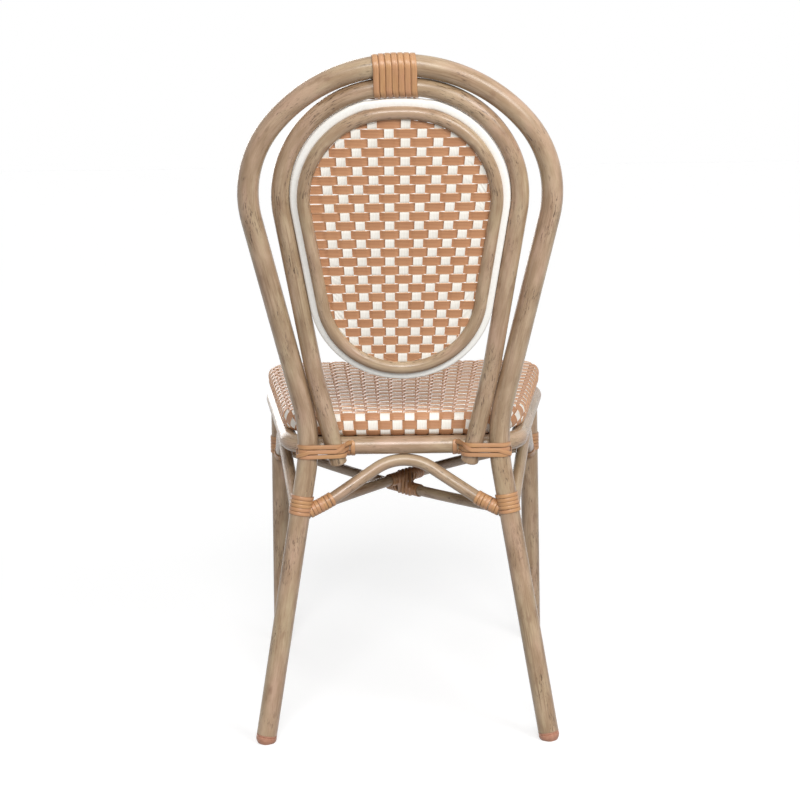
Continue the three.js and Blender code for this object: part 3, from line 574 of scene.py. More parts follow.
class Surface(Nodes):
    """The nodes of a material, whose patterns follow the grain of its mesh."""

    def __init__(self, name):
        super().__init__(bpy.data.materials.new(name))
        self.shader = self.tree.nodes["Principled BSDF"]
        self.grain = self.node("ShaderNodeAttribute", {}, attribute_name="grain").outputs["Vector"]

    def noise(self, vector, detail=3, roughness=0.55):
        inputs = {"Vector": vector, "Scale": 1, "Detail": detail, "Roughness": roughness}
        return self.node("ShaderNodeTexNoise", inputs).outputs["Fac"]

    def pattern(self, scale, offset=(0, 0, 0), detail=3, roughness=0.55, vector=None):
        """Noise along the grain, or along another vector. Scale is in spots per unit of each part, which
        on a tube is a metre: twice across it and then along it."""
        inputs = {"Vector": vector or self.grain, "Scale": scale, "Location": offset}
        return self.noise(self.node("ShaderNodeMapping", inputs).outputs[0], detail, roughness)

    def finished(self, colour, roughness, relief=None, depth=0.0, strength=1.0):
        """The material, with its colour, its roughness and a relief of a depth in metres."""
        self.put(colour, self.shader.inputs["Base Color"])
        self.put(roughness, self.shader.inputs["Roughness"])
        if relief:
            inputs = {"Height": relief, "Distance": depth, "Strength": strength}
            self.put(self.node("ShaderNodeBump", inputs).outputs[0], self.shader.inputs["Normal"])
        return self.owner


def painted_cane():
    """Tube painted like cane: greige, with brushed brown streaks along it, smudges and small dark marks."""
    n = Surface("painted_cane")
    tint = n.ramp(n.pattern((34, 34, 9)), 0.36, 0.64)
    broad = n.ramp(n.pattern((90, 90, 22), (4, 7, 1), 4), 0.38, 0.64)
    brushed = n.pattern((480, 480, 15), detail=4, roughness=0.6)
    streaks = n.ramp(brushed, 0.47, 0.62)
    patches = n.ramp(n.pattern((30, 30, 8), (3, 1, 2)), 0.42, 0.62, 0.1)
    marks = n.ramp(n.pattern((640, 640, 105), (7, 3, 5), 5, 0.65), 0.54, 0.62)
    knots = n.ramp(n.pattern((42, 42, 19), (1, 8, 4), 2), 0.49, 0.6)
    smudges = n.ramp(n.pattern((70, 70, 30), (9, 2, 6)), 0.6, 0.74)
    colour = n.mix(tint, GREIGE, ROSY_GREIGE)
    colour = n.mix(n.times(broad, 0.8), colour, BRUSHED_BROWN)
    colour = n.mix(n.times(patches, 0.6, streaks), colour, STREAK_BROWN)
    colour = n.mix(n.times(marks, knots, 0.75), colour, MARK_BROWN)
    colour = n.mix(n.times(smudges, 0.6), colour, SMUDGE_BROWN)
    return n.finished(colour, n.ramp(brushed, 0.35, 0.7, 0.23, 0.38), brushed, TUBE_RELIEF, 0.35)


def woven_strand(name, base, dark, rim_highlight, rim_highlight_amount):
    """A flat strand of moulded cane: fine ridges along it, painted shade in the furrows between them, a
    painted highlight on the rib at each edge, its own tone.
    """
    n = Surface(name)
    across, tone, along = n.node("ShaderNodeSeparateXYZ", {0: n.grain}).outputs
    fine = n.pattern((9, 60, 30), detail=4, roughness=0.6)
    broad = n.noise(n.node("ShaderNodeCombineXYZ", {0: n.times(tone, 37), 2: n.times(along, 18)}).outputs[0])
    both = n.math("ADD", n.times(fine, 0.5), n.times(broad, 0.5))
    ridges = n.math("SINE", n.times(across, RIDGE_TURN))
    # Painted shade in the furrows between the ridges, darkening the colour there
    furrow_shade = n.ramp(n.math("ADD", ridges, n.times(fine, 1.4)), 0.0, 0.6, 1.0, 0.0)
    # Painted highlight along the rib at each edge of the strand
    rim = n.math("GREATER_THAN", n.math("ABSOLUTE", across), RIM)
    colour = n.mix(n.ramp(both, 0.38, 0.66), base, dark)
    colour = n.mix(n.times(furrow_shade, 0.4), colour, n.mix(1.0, colour, dark, "MULTIPLY"))
    colour = n.mix(n.times(rim, rim_highlight_amount), colour, rim_highlight)
    return n.finished(colour, 0.42, n.math("ADD", n.times(ridges, 0.5), fine), STRAND_RELIEF, 0.6)


def binding_cane():
    """Flat binding cane, light brown, each strip of its own tone, with streaks along it and painted shade at
    its edges, where one turn meets the next.
    """
    n = Surface("binding_cane")
    across = n.node("ShaderNodeSeparateXYZ", {0: n.grain}).outputs[0]
    fine = n.pattern((5, 60, 26), detail=5, roughness=0.62)
    broad = n.ramp(n.pattern((0, 11, 19), (2, 5, 3)), 0.42, 0.7, 0.0, 0.6)
    # Painted shade at the edges of the strip, where one turn meets the next
    rim = n.ramp(n.math("ABSOLUTE", across), 0.74, 1.0)
    colour = n.mix(n.ramp(fine, 0.36, 0.66), LIGHT_CANE, DARK_CANE)
    colour = n.mix(broad, colour, ROSY_CANE)
    colour = n.mix(n.times(rim, 0.5), colour, CANE_EDGE_SHADE)
    return n.finished(colour, 0.36, fine, STRAND_RELIEF, 0.5)


def plain(name, base, dark, roughness):
    """Plastic, or the seat's dark core, whose darkness is painted shade, in two close colours, with a fine
    grain.
    """
    n = Surface(name)
    colour = n.mix(n.ramp(n.pattern((240, 240, 240), detail=4), 0.35, 0.65), base, dark)
    return n.finished(colour, roughness, n.pattern((2600, 2600, 2600), detail=2), PLASTIC_RELIEF, 0.5)


def zinc():
    """Dull metal for the screws, whose meshes carry no grain."""
    n = Surface("zinc")
    noise = n.pattern((900, 900, 900), vector=n.node("ShaderNodeTexCoord", {}).outputs["Object"])
    n.shader.inputs["Metallic"].default_value = 1
    return n.finished(n.mix(n.ramp(noise, 0.3, 0.7), linear(196, 198, 200), linear(160, 163, 168)), 0.34)


PAINT = painted_cane()
# The woven strands' rim colours are a painted highlight along their edges
WHITE = woven_strand("white_cane", base=linear(248, 244, 236), dark=linear(239, 233, 223),
                     rim_highlight=linear(250, 247, 240), rim_highlight_amount=0.4)
TERRACOTTA = woven_strand("terracotta_cane", base=linear(195, 144, 104), dark=linear(179, 126, 87),
                          rim_highlight=linear(222, 176, 136), rim_highlight_amount=0.8)
BINDING = binding_cane()
GLIDE = plain("glide_plastic", linear(186, 136, 112), linear(172, 121, 97), roughness=0.5)
PLUG = plain("hoop_plug_plastic", linear(176, 148, 120), linear(158, 130, 102), roughness=0.45)
RING_WHITE = plain("white_ring", linear(247, 245, 240), linear(241, 239, 233), roughness=0.45)
# The seat's core is dark as painted shade, for the hollow under the weave and the gap over the seat ring
CORE_AND_SHADE = plain("seat_core_fabric", linear(96, 62, 42), linear(78, 50, 34), roughness=0.9)
ZINC = zinc()


# Hoops, ring, oval frame and seat ring

SEEN_REAR_CORNER = 50
RING_HALF_WIDTH = 6
RING_HALF_DEPTH = 5.2
RING_SQUARENESS = 0.64
RING_PROUD = 2.8
RING_DIP = STRIP_THICK + FIT
UNDER_BINDING = 33
EASING = 12


def eased(share):
    """From 0 to 1 with a soft start and end."""
    share = min(max(share, 0), 1)
    return share * share * (3 - 2 * share)


def made_tube(name, replaced, path, radius, up=BACK_NORMAL, material=PAINT, **options):
    mesh = Mesh()
    tube(mesh, path, radius, up, **options)
    mesh.make(name, material, replaced)


def ring_place(p):
    """A place on the ring, which dips where the binding of the two hoops comes down on it."""
    near = eased((UNDER_BINDING + EASING - abs(p.x)) / EASING) if p.y > INNER_HOOP["top"] / 2 else 0
    return on_back(p.x, p.y - RING_DIP * near, RING_PROUD)


seen_ring = inset_hoop(INNER_HOOP, INNER_TUBE / 2 + RING_HALF_WIDTH + FIT / 2)
ring_path = closed_loop([ring_place(p) for p in oval_half(seen_ring, OVAL_BOTTOM - ring_to_oval)])
oval_path = closed_loop([on_back(p.x, p.y, OVAL_BACK) for p in oval_half(oval_hoop, OVAL_BOTTOM)])
made_tube("outer_hoop_tube", "rear_leg_back_hoop", both_sides(outer_half), HOOP_TUBE / 2)
made_tube("inner_hoop_tube", "inner_back_hoop", both_sides(inner_half), INNER_TUBE / 2)
made_tube("white_ring_rod", "white_back_ring", ring_path, RING_HALF_WIDTH, material=RING_WHITE,
          loop=True, sides=ROD_SIDES, deep=RING_HALF_DEPTH, squareness=RING_SQUARENESS)
made_tube("oval_frame_tube", "oval_back_frame", oval_path, OVAL_TUBE / 2, loop=True, sides=ROD_SIDES)
made_tube("seat_ring_tube", "seat_ring", rail_loop(SEEN_REAR_CORNER, RAIL_FRONT_CORNER), RAIL_TUBE / 2,
          Z_AXIS, loop=True)


# Stretchers, braces and front legs, which are welded on

BEAD = 1.3
BEAD_SIDES = 8
BEAD_UNEVEN = 0.16
BEAD_RIPPLE = 1.9
WELD_GAP = FIT / 2
CLEARING = 30
BOW_END_RISE = 6
BOW_END_REACH = 62
ARM_STEPS = 24
beads = Mesh()


def weld_bead(ring):
    """A thin uneven bead round the end of a tube, where it is welded on."""
    path = np.array(ring)
    middle = path.mean(0)
    plane = unit(np.cross(path[0] - middle, path[len(path) // 4] - middle))
    ripple = np.sin(np.arange(len(path)) * BEAD_RIPPLE + random.uniform(0, TURN))
    radius = BEAD * (1 + BEAD_UNEVEN * ripple)[:, None]
    out = unit(np.cross(headings(path, True), plane))
    section = circle(BEAD_SIDES, 1)
    rings = swept(path, out * radius, plane * radius, section)
    beads.loft(rings, round_grain(section * BEAD, travelled(path, True)), loop=True)


def trimmed(path):
    """The path without its ends, so that its end rings stand clear of what they meet."""
    def cut(points):
        points = list(points)
        left = CLEARING
        while left > (points[1] - points[0]).length:
            left -= (points[1] - points[0]).length
            points.pop(0)
        points[0] = points[0] + (points[1] - points[0]).normalized() * left
        return points
    return list(reversed(cut(reversed(cut(path)))))


def welded(name, replaced, path, radius, up, ends, sides=ROD_SIDES):
    """A tube whose ends are cut to sit on round members, with a weld bead at each end that is cut."""
    mesh = Mesh()
    rings = tube(mesh, path, radius, up, sides, ends=ends)
    for place, end in zip((0, -1), ends):
        if end:
            weld_bead(rings[place])
    mesh.make(name, PAINT, replaced)


def leg_saddles(foot, up, radius):
    """Where round members end on a left leg and on a right one."""
    return [saddle(mirror(foot, side), mirror(up, side), radius + WELD_GAP) for side, _ in SIDES]


def raised_ends(path):
    """A bow with its arms in short steps, and its ends raised a little towards the legs."""
    arm = [i / ARM_STEPS for i in range(1, ARM_STEPS)]
    points = (path[:1] + [path[0].lerp(path[1], t) for t in arm] + path[1:-1]
              + [path[-2].lerp(path[-1], t) for t in arm] + path[-1:])
    raised = []
    for p in points:
        from_end = min((p - path[0]).length, (p - path[-1]).length)
        raised.append(p + Z_AXIS * (BOW_END_RISE * eased(1 - from_end / BOW_END_REACH)))
    return raised


rear_left, rear_right = leg_saddles(REAR_FOOT, rear_leg_up, HOOP_TUBE / 2)
front_left, front_right = leg_saddles(front_foot, front_leg_up, FRONT_LEG_TUBE / 2)
seen_rear_bow = raised_ends(rear_bow)
for name, path, ends in (("rear_arch", seen_rear_bow, (rear_left, rear_right)),
                         ("front_arch", front_bow, (front_left, front_right)),
                         ("side_arch_left", left_bow, (rear_left, front_left)),
                         ("side_arch_right", flip(left_bow), (rear_right, front_right))):
    bow_up = (path[-1] - path[0]).cross(Z_AXIS).normalized()
    welded(name + "_tube", name, trimmed(path), ARCH_TUBE / 2, bow_up, ends)
for name, path, ends in (("cross_brace_over", brace_over, (rear_left, front_right)),
                         ("cross_brace_under", brace_under, (rear_right, front_left))):
    welded(name + "_tube", name, trimmed(path), BRACE_TUBE / 2, Z_AXIS, ends)

leg_joint = reach(rail_half, 1, front_leg_top.y)
joint_run = (reach(rail_half, 1, front_leg_top.y - FIT) - leg_joint).normalized()
leg_length = rail_height - CLEARING - GLIDE_HEIGHT
for side, name in SIDES:
    on_rail = saddle(mirror(leg_joint, side), mirror(joint_run, side), RAIL_TUBE / 2 + WELD_GAP)
    low = mirror(front_leg_end, side)
    top = low + mirror(front_leg_up, side) * leg_length
    welded("front_leg_tube_" + name, "front_leg_" + name, [top, low], FRONT_LEG_TUBE / 2, Y_AXIS,
           (on_rail, None), TUBE_SIDES)

beads.make("weld_beads", PAINT)


# Foot glides, hoop plugs and screws. A profile is pairs of a distance up the axis and a radius.

PLUG_FLANGE = [(-4.6, 0.1), (-4.5, 3), (-4.1, 6), (-3.4, 8.4), (-2.5, 10.3), (-1.5, 11.5), (-0.6, 11.9),
               (-0.15, 11.7), (-0.1, 1)]
GLIDE_LIP = 0.9
SCREWS = 4


def glide_profile(radius):
    """The tread, a flare to the width of the tube, a groove round it, and the top under the tube."""
    lip = radius - GLIDE_LIP
    return [(-3, 0.1), (-3, 8.6), (-1.2, radius - 3.2), (1.2, radius - 1.7), (3.6, lip + 0.5), (5.4, radius),
            (8.2, radius + 0.1), (9.0, lip), (9.5, lip), (10.2, radius + 0.1), (11.7, radius), (11.75, 1)]


def made_turned(name, replaced, material, side, base, axis, profile):
    mesh = Mesh()
    turned(mesh, mirror(base, side), mirror(axis, side), profile)
    mesh.make(name, material, replaced)


plug_axis = (inner_half[-2] - inner_half[-1]).normalized()
for side, name in SIDES:
    for place, foot, up, radius in (("rear", REAR_FOOT, rear_leg_up, HOOP_TUBE / 2),
                                    ("front", front_foot, front_leg_up, FRONT_LEG_TUBE / 2)):
        made_turned(f"{place}_glide_{name}", f"{place}_foot_glide_{name}", GLIDE, side, foot, up,
                    glide_profile(radius))
    made_turned("hoop_plug_" + name, "inner_hoop_plug_" + name, PLUG, side, inner_half[-1], plug_axis,
                PLUG_FLANGE)

for number in range(1, SCREWS + 1):
    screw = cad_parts[f"seat_screw_{number}"]
    screw.data.materials.clear()
    screw.data.materials.append(ZINC)


# Woven back

STRAND_THICK = 1.4
WEAVE_RISE = 0.8
BACK_ROWS = 27
BACK_WARPS = 6
WARP_DRIFT = 8.5
ROW_TILT = 0.5
WARP_WIDTH = 12.2
WEFT_WIDTH = 11.7
WARP_PITCH_TOP = 21.4
WARP_PITCH_LOW = 15.6
STEEPNESS = 1.7
ROW_STEPS = 170
WARP_STEPS = 230
SEARCH_STEPS = 3000
LEAST_FOUND = 100
# Across a strand: the place from edge to edge, and the height in half thicknesses, with a rib at each edge
STRAND_SECTION = [(-1, 0.15), (-0.96, 1), (-0.86, 0.72), (0, 0.86), (0.86, 0.72), (0.96, 1), (1, 0.15),
                  (0.96, -0.9), (-0.96, -0.9)]

panel = oval_half(inset_hoop(oval_hoop, OVAL_TUBE / 2), OVAL_BOTTOM + OVAL_TUBE / 2)
panel_rise = np.array([p.y for p in panel])[::-1]
panel_half = np.array([p.x for p in panel])[::-1]
panel_top, panel_low = panel_rise[-1], panel_rise[0]
row_pitch = (panel_top - panel_low) / BACK_ROWS


def square_wave(value, steepness=STEEPNESS):
    """A round wave from -1 to 1 made broader at its tops."""
    return np.sin(QUARTER * np.clip(steepness * value, -1, 1))


def panel_share(rise):
    return (rise - panel_low) / (panel_top - panel_low)


def warp_pitch(rise):
    return WARP_PITCH_LOW + (WARP_PITCH_TOP - WARP_PITCH_LOW) * panel_share(rise)


def warp_middle(rise):
    """Where the middle strand runs: it was woven a little askew."""
    return -WARP_DRIFT * panel_share(rise)


def strand(mesh, columns, normals):
    """One flat strand from the middle lines of its section's columns, each an array of points."""
    columns, normals = np.array(columns), np.array(normals)
    sides, outs = np.array(STRAND_SECTION).T
    rings = np.swapaxes(columns + normals * (outs * STRAND_THICK / 2)[:, None, None], 0, 1)
    mesh.loft(rings, flat_grain(sides, travelled(columns[len(sides) // 2])))


def on_panel(xs, rises, offsets):
    """Points on the woven panel, which lies to the rear of the hoops' plane, and their normals."""
    points = np.column_stack(in_back_plane(xs, rises, OVAL_BACK + offsets))
    return points, np.tile(np.array(BACK_NORMAL), (len(points), 1))


def back_strands():
    white, brown = Mesh(), Mesh()
    for i in range(BACK_ROWS):
        middle = panel_top - row_pitch * (i + 0.5)
        tilt = random.uniform(-1, 1) * ROW_TILT
        parts = []
        for side, _ in STRAND_SECTION:
            rise = middle + side * WEFT_WIDTH / 2
            half = np.interp(rise, panel_rise, panel_half)
            xs = np.linspace(-half, half, ROW_STEPS)
            column = (xs - warp_middle(rise)) / warp_pitch(rise)
            wave = -WEAVE_RISE * (-1) ** i * square_wave(np.cos(math.pi * column))
            parts.append(on_panel(xs, rise + tilt * xs / half, wave))
        strand(brown, *zip(*parts))
    for number in range(-BACK_WARPS, BACK_WARPS + 1):
        parts = []
        for side, _ in STRAND_SECTION:
            def across(rises):
                return number * warp_pitch(rises) + warp_middle(rises) + side * WARP_WIDTH / 2
            fine = np.linspace(panel_top, panel_low, SEARCH_STEPS)
            found = fine[np.abs(across(fine)) <= np.interp(fine, panel_rise, panel_half)]
            if len(found) < LEAST_FOUND:
                break
            rises = np.linspace(found[0], found[-1], WARP_STEPS)
            row = (panel_top - rises) / row_pitch - 0.5
            wave = WEAVE_RISE * (-1) ** number * square_wave(np.cos(math.pi * row))
            parts.append(on_panel(across(rises), rises, wave))
        if len(parts) == len(STRAND_SECTION):
            strand(white, *zip(*parts))
    brown.make("back_weave_terracotta", TERRACOTTA, "back_weave_panel")
    white.make("back_weave_white", WHITE, "back_weave_panel")


back_strands()


# Woven seat

# A flat weave is laid over the seat and wrapped round its edge: a place in the flat is inside the
# line where the edge begins, or a distance beyond it that runs down round the edge.
SEAT_WARP_PITCH = 16.9
SEAT_WARP_WIDTH = 13.4
SEAT_ROW_PITCH = 12.3
SEAT_ROW_WIDTH = 11.7
SEAT_ROW_PHASE = 3.6
SEAT_WARP_RISE = 0.35
SEAT_ROW_RISE = 1.15
SEAT_STEEPNESS = 1.25
SEAT_TUCK = 9
SEAT_REAR_CORNER = 84
SEAT_FRONT_CORNER = 44
BASE_INSET = 7
BASE_DROP = 21.8
EDGE_SQUARENESS = 0.68
EDGE_FLATTENED = 0.9
EDGE_STEPS = 720
SEAT_WARPS = 14
LAY_SEARCH_STEPS = 300
LAY_STEPS = 264
LEAST_LAID = 30
CORE_SHARES = (0.02, 0.4, 0.7, 0.9)
CORE_EDGE_STEPS = 16
BASE_SHARES = (0.8, 0.4, 0.02)
EDGE_RADIUS = SEAT_EDGE_ROUND - STRAND_THICK / 2 - SEAT_ROW_RISE
edge_height = SEAT_HEIGHT - SEAT_EDGE_ROUND
seat_middle = (rail_rear_y + rail_front_y) / 2
seat_outline = np.array(clean(rail_loop(SEAT_REAR_CORNER, SEAT_FRONT_CORNER), True))
edge_out = np.cross(np.array(Z_AXIS), headings(seat_outline, True))
edge_line = (seat_outline + edge_out * seat_edge_offset)[:, :2]
edge_out = edge_out[:, :2]
edge_run = np.roll(edge_line, -1, axis=0) - edge_line


def edge_profile():
    """Round the edge from its top: the distance gone, the place out and up, and the way it faces."""
    turn = np.linspace(0, math.pi, EDGE_STEPS + 1)
    c, s = np.cos(turn), np.sin(turn)
    reach_up = np.where(c > 0, EDGE_RADIUS, EDGE_RADIUS - EDGE_FLATTENED)
    up = reach_up * np.sign(c) * np.abs(c) ** EDGE_SQUARENESS
    places = np.column_stack([EDGE_RADIUS * s ** EDGE_SQUARENESS, up])
    along = headings(places)
    return travelled(places), places, np.column_stack([-along[:, 1], along[:, 0]])


edge_gone, edge_place, edge_facing = edge_profile()
EDGE_LIMIT = edge_gone[-1] + SEAT_TUCK


def round_edge(distance, lift):
    """A place out and up for a distance gone round the edge, lifted off it, and its facing."""
    place, facing = (np.column_stack([np.interp(distance, edge_gone, table[:, k]) for k in (0, 1)])
                     for table in (edge_place, edge_facing))
    return place + facing * np.reshape(lift, (-1, 1)), facing


def from_edge(places):
    """For places in the flat: the nearest place on the edge line, and the distance outside it."""
    nearest = np.zeros_like(places)
    distance = np.full(len(places), np.inf)
    for start, run, out in zip(edge_line, edge_run, edge_out):
        share = np.clip(((places - start) @ run) / (run @ run), 0, 1)
        candidate = start + share[:, None] * run
        gap = np.linalg.norm(places - candidate, axis=1)
        closer = gap < np.abs(distance)
        nearest[closer] = candidate[closer]
        distance[closer] = np.where((places - candidate) @ out < 0, -gap, gap)[closer]
    return nearest, distance


def on_seat(places, lift):
    """Points on the seat's surface and their normals, lifted off its middle surface."""
    nearest, distance = from_edge(places)
    outward = unit(places - nearest)
    inside = distance < 0
    crown = SEAT_CROWN * np.sin(QUARTER * np.clip(-distance / SEAT_CROWN_INSET, 0, 1))
    gone = np.clip(distance, 0, edge_gone[-1])
    placed, facing = round_edge(gone, lift)
    run = placed[:, 0] - np.maximum(distance - edge_gone[-1], 0)
    flat = np.where(inside[:, None], places, nearest + outward * run[:, None])
    points = np.column_stack([flat, edge_height + placed[:, 1] + crown])
    facing = np.where(inside[:, None], (0, 1), facing)
    normals = np.column_stack([outward * facing[:, :1], facing[:, 1]])
    return points, normals


def seat_warp_pitch(y):
    share = (rail_rear_y - y) / RAIL_DEPTH
    return SEAT_WARP_PITCH * (1 + (RAIL_FRONT_HALF / RAIL_REAR_HALF - 1) * share)


def laid(mesh, line, low, high, wave):
    """A strand laid over the seat along a line, given for each place across the strand."""
    parts = []
    for side, _ in STRAND_SECTION:
        shares = np.linspace(low, high, LAY_SEARCH_STEPS)
        _, distance = from_edge(line(shares, side))
        held = shares[distance < EDGE_LIMIT]
        if len(held) < LEAST_LAID:
            return
        shares = np.linspace(held[0], held[-1], LAY_STEPS)
        parts.append(on_seat(line(shares, side), wave(shares)))
    strand(mesh, *zip(*parts))


def seat_strands():
    """Strands from side to side lie over and under those from back to front, which lie nearly flat."""
    white, brown = Mesh(), Mesh()
    span = RAIL_DEPTH / 2 + EDGE_LIMIT
    for number in range(-SEAT_WARPS, SEAT_WARPS):
        def line(ys, side):
            return np.column_stack([(number + 0.5) * seat_warp_pitch(ys) + side * SEAT_WARP_WIDTH / 2, ys])

        def wave(ys):
            row = (rail_rear_y - ys + SEAT_ROW_PHASE) / SEAT_ROW_PITCH
            return -SEAT_WARP_RISE * (-1) ** number * square_wave(np.cos(math.pi * row))
        laid(white, line, seat_middle - span, seat_middle + span, wave)
    first = -math.ceil(EDGE_LIMIT / SEAT_ROW_PITCH) - 1
    last = math.ceil((RAIL_DEPTH + EDGE_LIMIT) / SEAT_ROW_PITCH) + 1
    for number in range(first, last):
        middle_y = rail_rear_y + SEAT_ROW_PHASE - number * SEAT_ROW_PITCH

        def line(xs, side):
            return np.column_stack([xs, np.full_like(xs, middle_y + side * SEAT_ROW_WIDTH / 2)])

        def wave(xs):
            bulge = square_wave(np.sin(math.pi * xs / seat_warp_pitch(middle_y)), SEAT_STEEPNESS)
            return SEAT_ROW_RISE * (-1) ** number * bulge
        laid(brown, line, -RAIL_FRONT_HALF - EDGE_LIMIT, RAIL_FRONT_HALF + EDGE_LIMIT, wave)
    brown.make("seat_weave_terracotta", TERRACOTTA, "seat_pad")
    white.make("seat_weave_white", WHITE, "seat_pad")


seat_strands()


def seat_core():
    """The core under the weave and its dark base, which closes the gap over the seat ring; their dark colour
    is painted shade, for the hollow under the weave and the gap between the seat and the seat ring.
    """
    core = Mesh()
    inset = -STRAND_THICK / 2 - SEAT_ROW_RISE
    top = EDGE_RADIUS + inset

    def level(line, height):
        return np.column_stack([line, np.full(len(line), edge_height + height)])

    def shrunk(share):
        centre = np.array((0, seat_middle))
        return centre + (edge_line - centre) * share

    rings = [level(shrunk(share), top + SEAT_CROWN * math.cos(QUARTER * share)) for share in CORE_SHARES]
    for i in range(CORE_EDGE_STEPS + 1):
        out, up = round_edge([edge_gone[-1] * i / CORE_EDGE_STEPS], inset)[0][0]
        rings.append(level(edge_line + edge_out * out, up))
    rings += [level(edge_line - edge_out * BASE_INSET, up) for up in (EDGE_FLATTENED - top, -BASE_DROP)]
    rings += [level(shrunk(share), -BASE_DROP) for share in BASE_SHARES]
    core.loft(rings, repeated(np.array(rings)) * MM)
    made = core.make("seat_core", CORE_AND_SHADE, "seat_pad")


seat_core()


# Bindings

# A flat strip of cane is wound round a bundle of members. A bundle is the place where it is cut, two
# directions across it, and its members as ellipses: the place of each, and its half widths.
WIND_STEPS = 40
STRIP_SECTION = [(-1, 0), (-0.9, 0.62), (-0.55, 0.95), (0, 1), (0.55, 0.95), (0.9, 0.62), (1, 0),
                 (0.9, -0.7), (-0.9, -0.7)]
STRIP_LIFT = FIT / 2 + STRIP_THICK / 2
PASSING_HALVINGS = 20


def support(section, angle):
    """How far an ellipse reaches in a direction, and its outermost place."""
    x, y, half_u, half_v = section
    c, s = math.cos(angle), math.sin(angle)
    out = math.hypot(half_u * c, half_v * s)
    u, v = ((half_u ** 2 * c) / out, (half_v ** 2 * s) / out) if out else (0, 0)
    return x * c + y * s + out, x + u, y + v


def outermost(sections, angle):
    distances = [support(section, angle)[0] for section in sections]
    return distances.index(max(distances))


def route_point(held, number, angle, lift=STRIP_LIFT):
    origin, u, v, sections = held
    _, along_u, along_v = support(sections[number], angle)
    normal = u * math.cos(angle) + v * math.sin(angle)
    return origin + u * along_u + v * along_v + normal * lift, normal, number


def passing_angle(sections, number, on_it, past_it):
    """The angle at which a strip leaves a member for the next one."""
    for _ in range(PASSING_HALVINGS):
        middle = (on_it + past_it) / 2
        on_it, past_it = (middle, past_it) if outermost(sections, middle) == number else (on_it, middle)
    return on_it


def wind(bundle, start, end, start_angle, end_angle, lift=STRIP_LIFT):
    """Points of a strip, its facing and the member that it lies on."""
    steps = math.ceil((end_angle - start_angle) / TURN * WIND_STEPS)
    route = []
    angle_before = start_angle
    for i in range(steps + 1):
        angle = start_angle + (end_angle - start_angle) * i / steps
        held = bundle(start + (end - start) * i / steps)
        number = outermost(held[3], angle)
        before = route[-1][2] if route else number
        if before != number:
            passing = passing_angle(held[3], before, angle_before, angle)
            route += [route_point(held, before, passing, lift), route_point(held, number, passing, lift)]
        route.append(route_point(held, number, angle, lift))
        angle_before = angle
    return route


def strip(mesh, route, width):
    """A flat domed strip along a route."""
    kept = [route[0]]
    for r in route[1:]:
        if (r[0] - kept[-1][0]).length > TURNS_APART:
            kept.append(r)
    path, normals = np.array([r[0] for r in kept]), np.array([r[1] for r in kept])
    along = headings(path)
    side = unit(np.cross(along, normals))
    section = np.array(STRIP_SECTION) * (width / 2, STRIP_THICK / 2)
    rings = swept(path, side, unit(np.cross(side, along)), section)
    mesh.loft(rings, flat_grain(np.array(STRIP_SECTION)[:, 0], travelled(path)))


def arc_strip(mesh, centre_at, radius, start_axis, facing, width, start=0, end=TURN):
    """A strip round a member, from one angle to another. 0 is along the first axis, a quarter turn
    is facing out."""
    steps = math.ceil((end - start) / TURN * WIND_STEPS)
    route = []
    for i in range(steps + 1):
        share = i / steps
        angle = start + (end - start) * share
        normal = start_axis * math.cos(angle) + facing * math.sin(angle)
        route.append((centre_at(share) + normal * (radius + STRIP_LIFT), normal, 0))
    strip(mesh, route, width)


# Top binding

TOP_TURNS = 7
TOP_PITCH = 7.9
TOP_WIDTH = 7.75
TOP_OFFSET = 6


def on_crown(half, x):
    """A hoop at a place across, and how much longer than wide a cut straight through it is."""
    a, b = step_over(half, 0, abs(x))
    run = b - a
    p = a.lerp(b, (abs(x) - a.x) / run.x)
    return Vector((x, p.y, p.z)), run.length / run.x


def hoops_bundle(x):
    outer, outer_stretch = on_crown(outer_top, x)
    inner, inner_stretch = on_crown(inner_half, x)
    sections = [(0, 0, HOOP_TUBE / 2, HOOP_TUBE / 2 * outer_stretch),
                (0, -(outer - inner).length, INNER_TUBE / 2, INNER_TUBE / 2 * inner_stretch)]
    return outer, BACK_NORMAL, BACK_UP, sections


mesh = Mesh()
half = TOP_PITCH * TOP_TURNS / 2
top_route = wind(hoops_bundle, TOP_OFFSET - half, TOP_OFFSET + half, -QUARTER, -QUARTER + TOP_TURNS * TURN)
strip(mesh, top_route, TOP_WIDTH)
mesh.make("top_cane_binding", BINDING, "top_binding")


# Leg bindings

LASHING_WIDTH = 5.2
LASHING_GAP = 0.1
LASHING_PITCH = LASHING_WIDTH + LASHING_GAP
LASHING_TURNS = 5
LASHING_BOW_TURNS = 7
LASHING_BOW_START = 19
LEG_TURN_START = -1.45
LEG_TURN_END = 3.3
REAR_LASHING_MIDDLE = 327
FRONT_LASHING_MIDDLE = 324
FRONT_FULL_TURNS = 2
LASHING_SKEW = 1


def along_path(path, distance):
    for a, b in zip(path, path[1:]):
        step = (b - a).length
        if distance <= step:
            return a + (b - a).normalized() * distance, (b - a).normalized()
        distance -= step
    raise ValueError("the path is shorter than that")


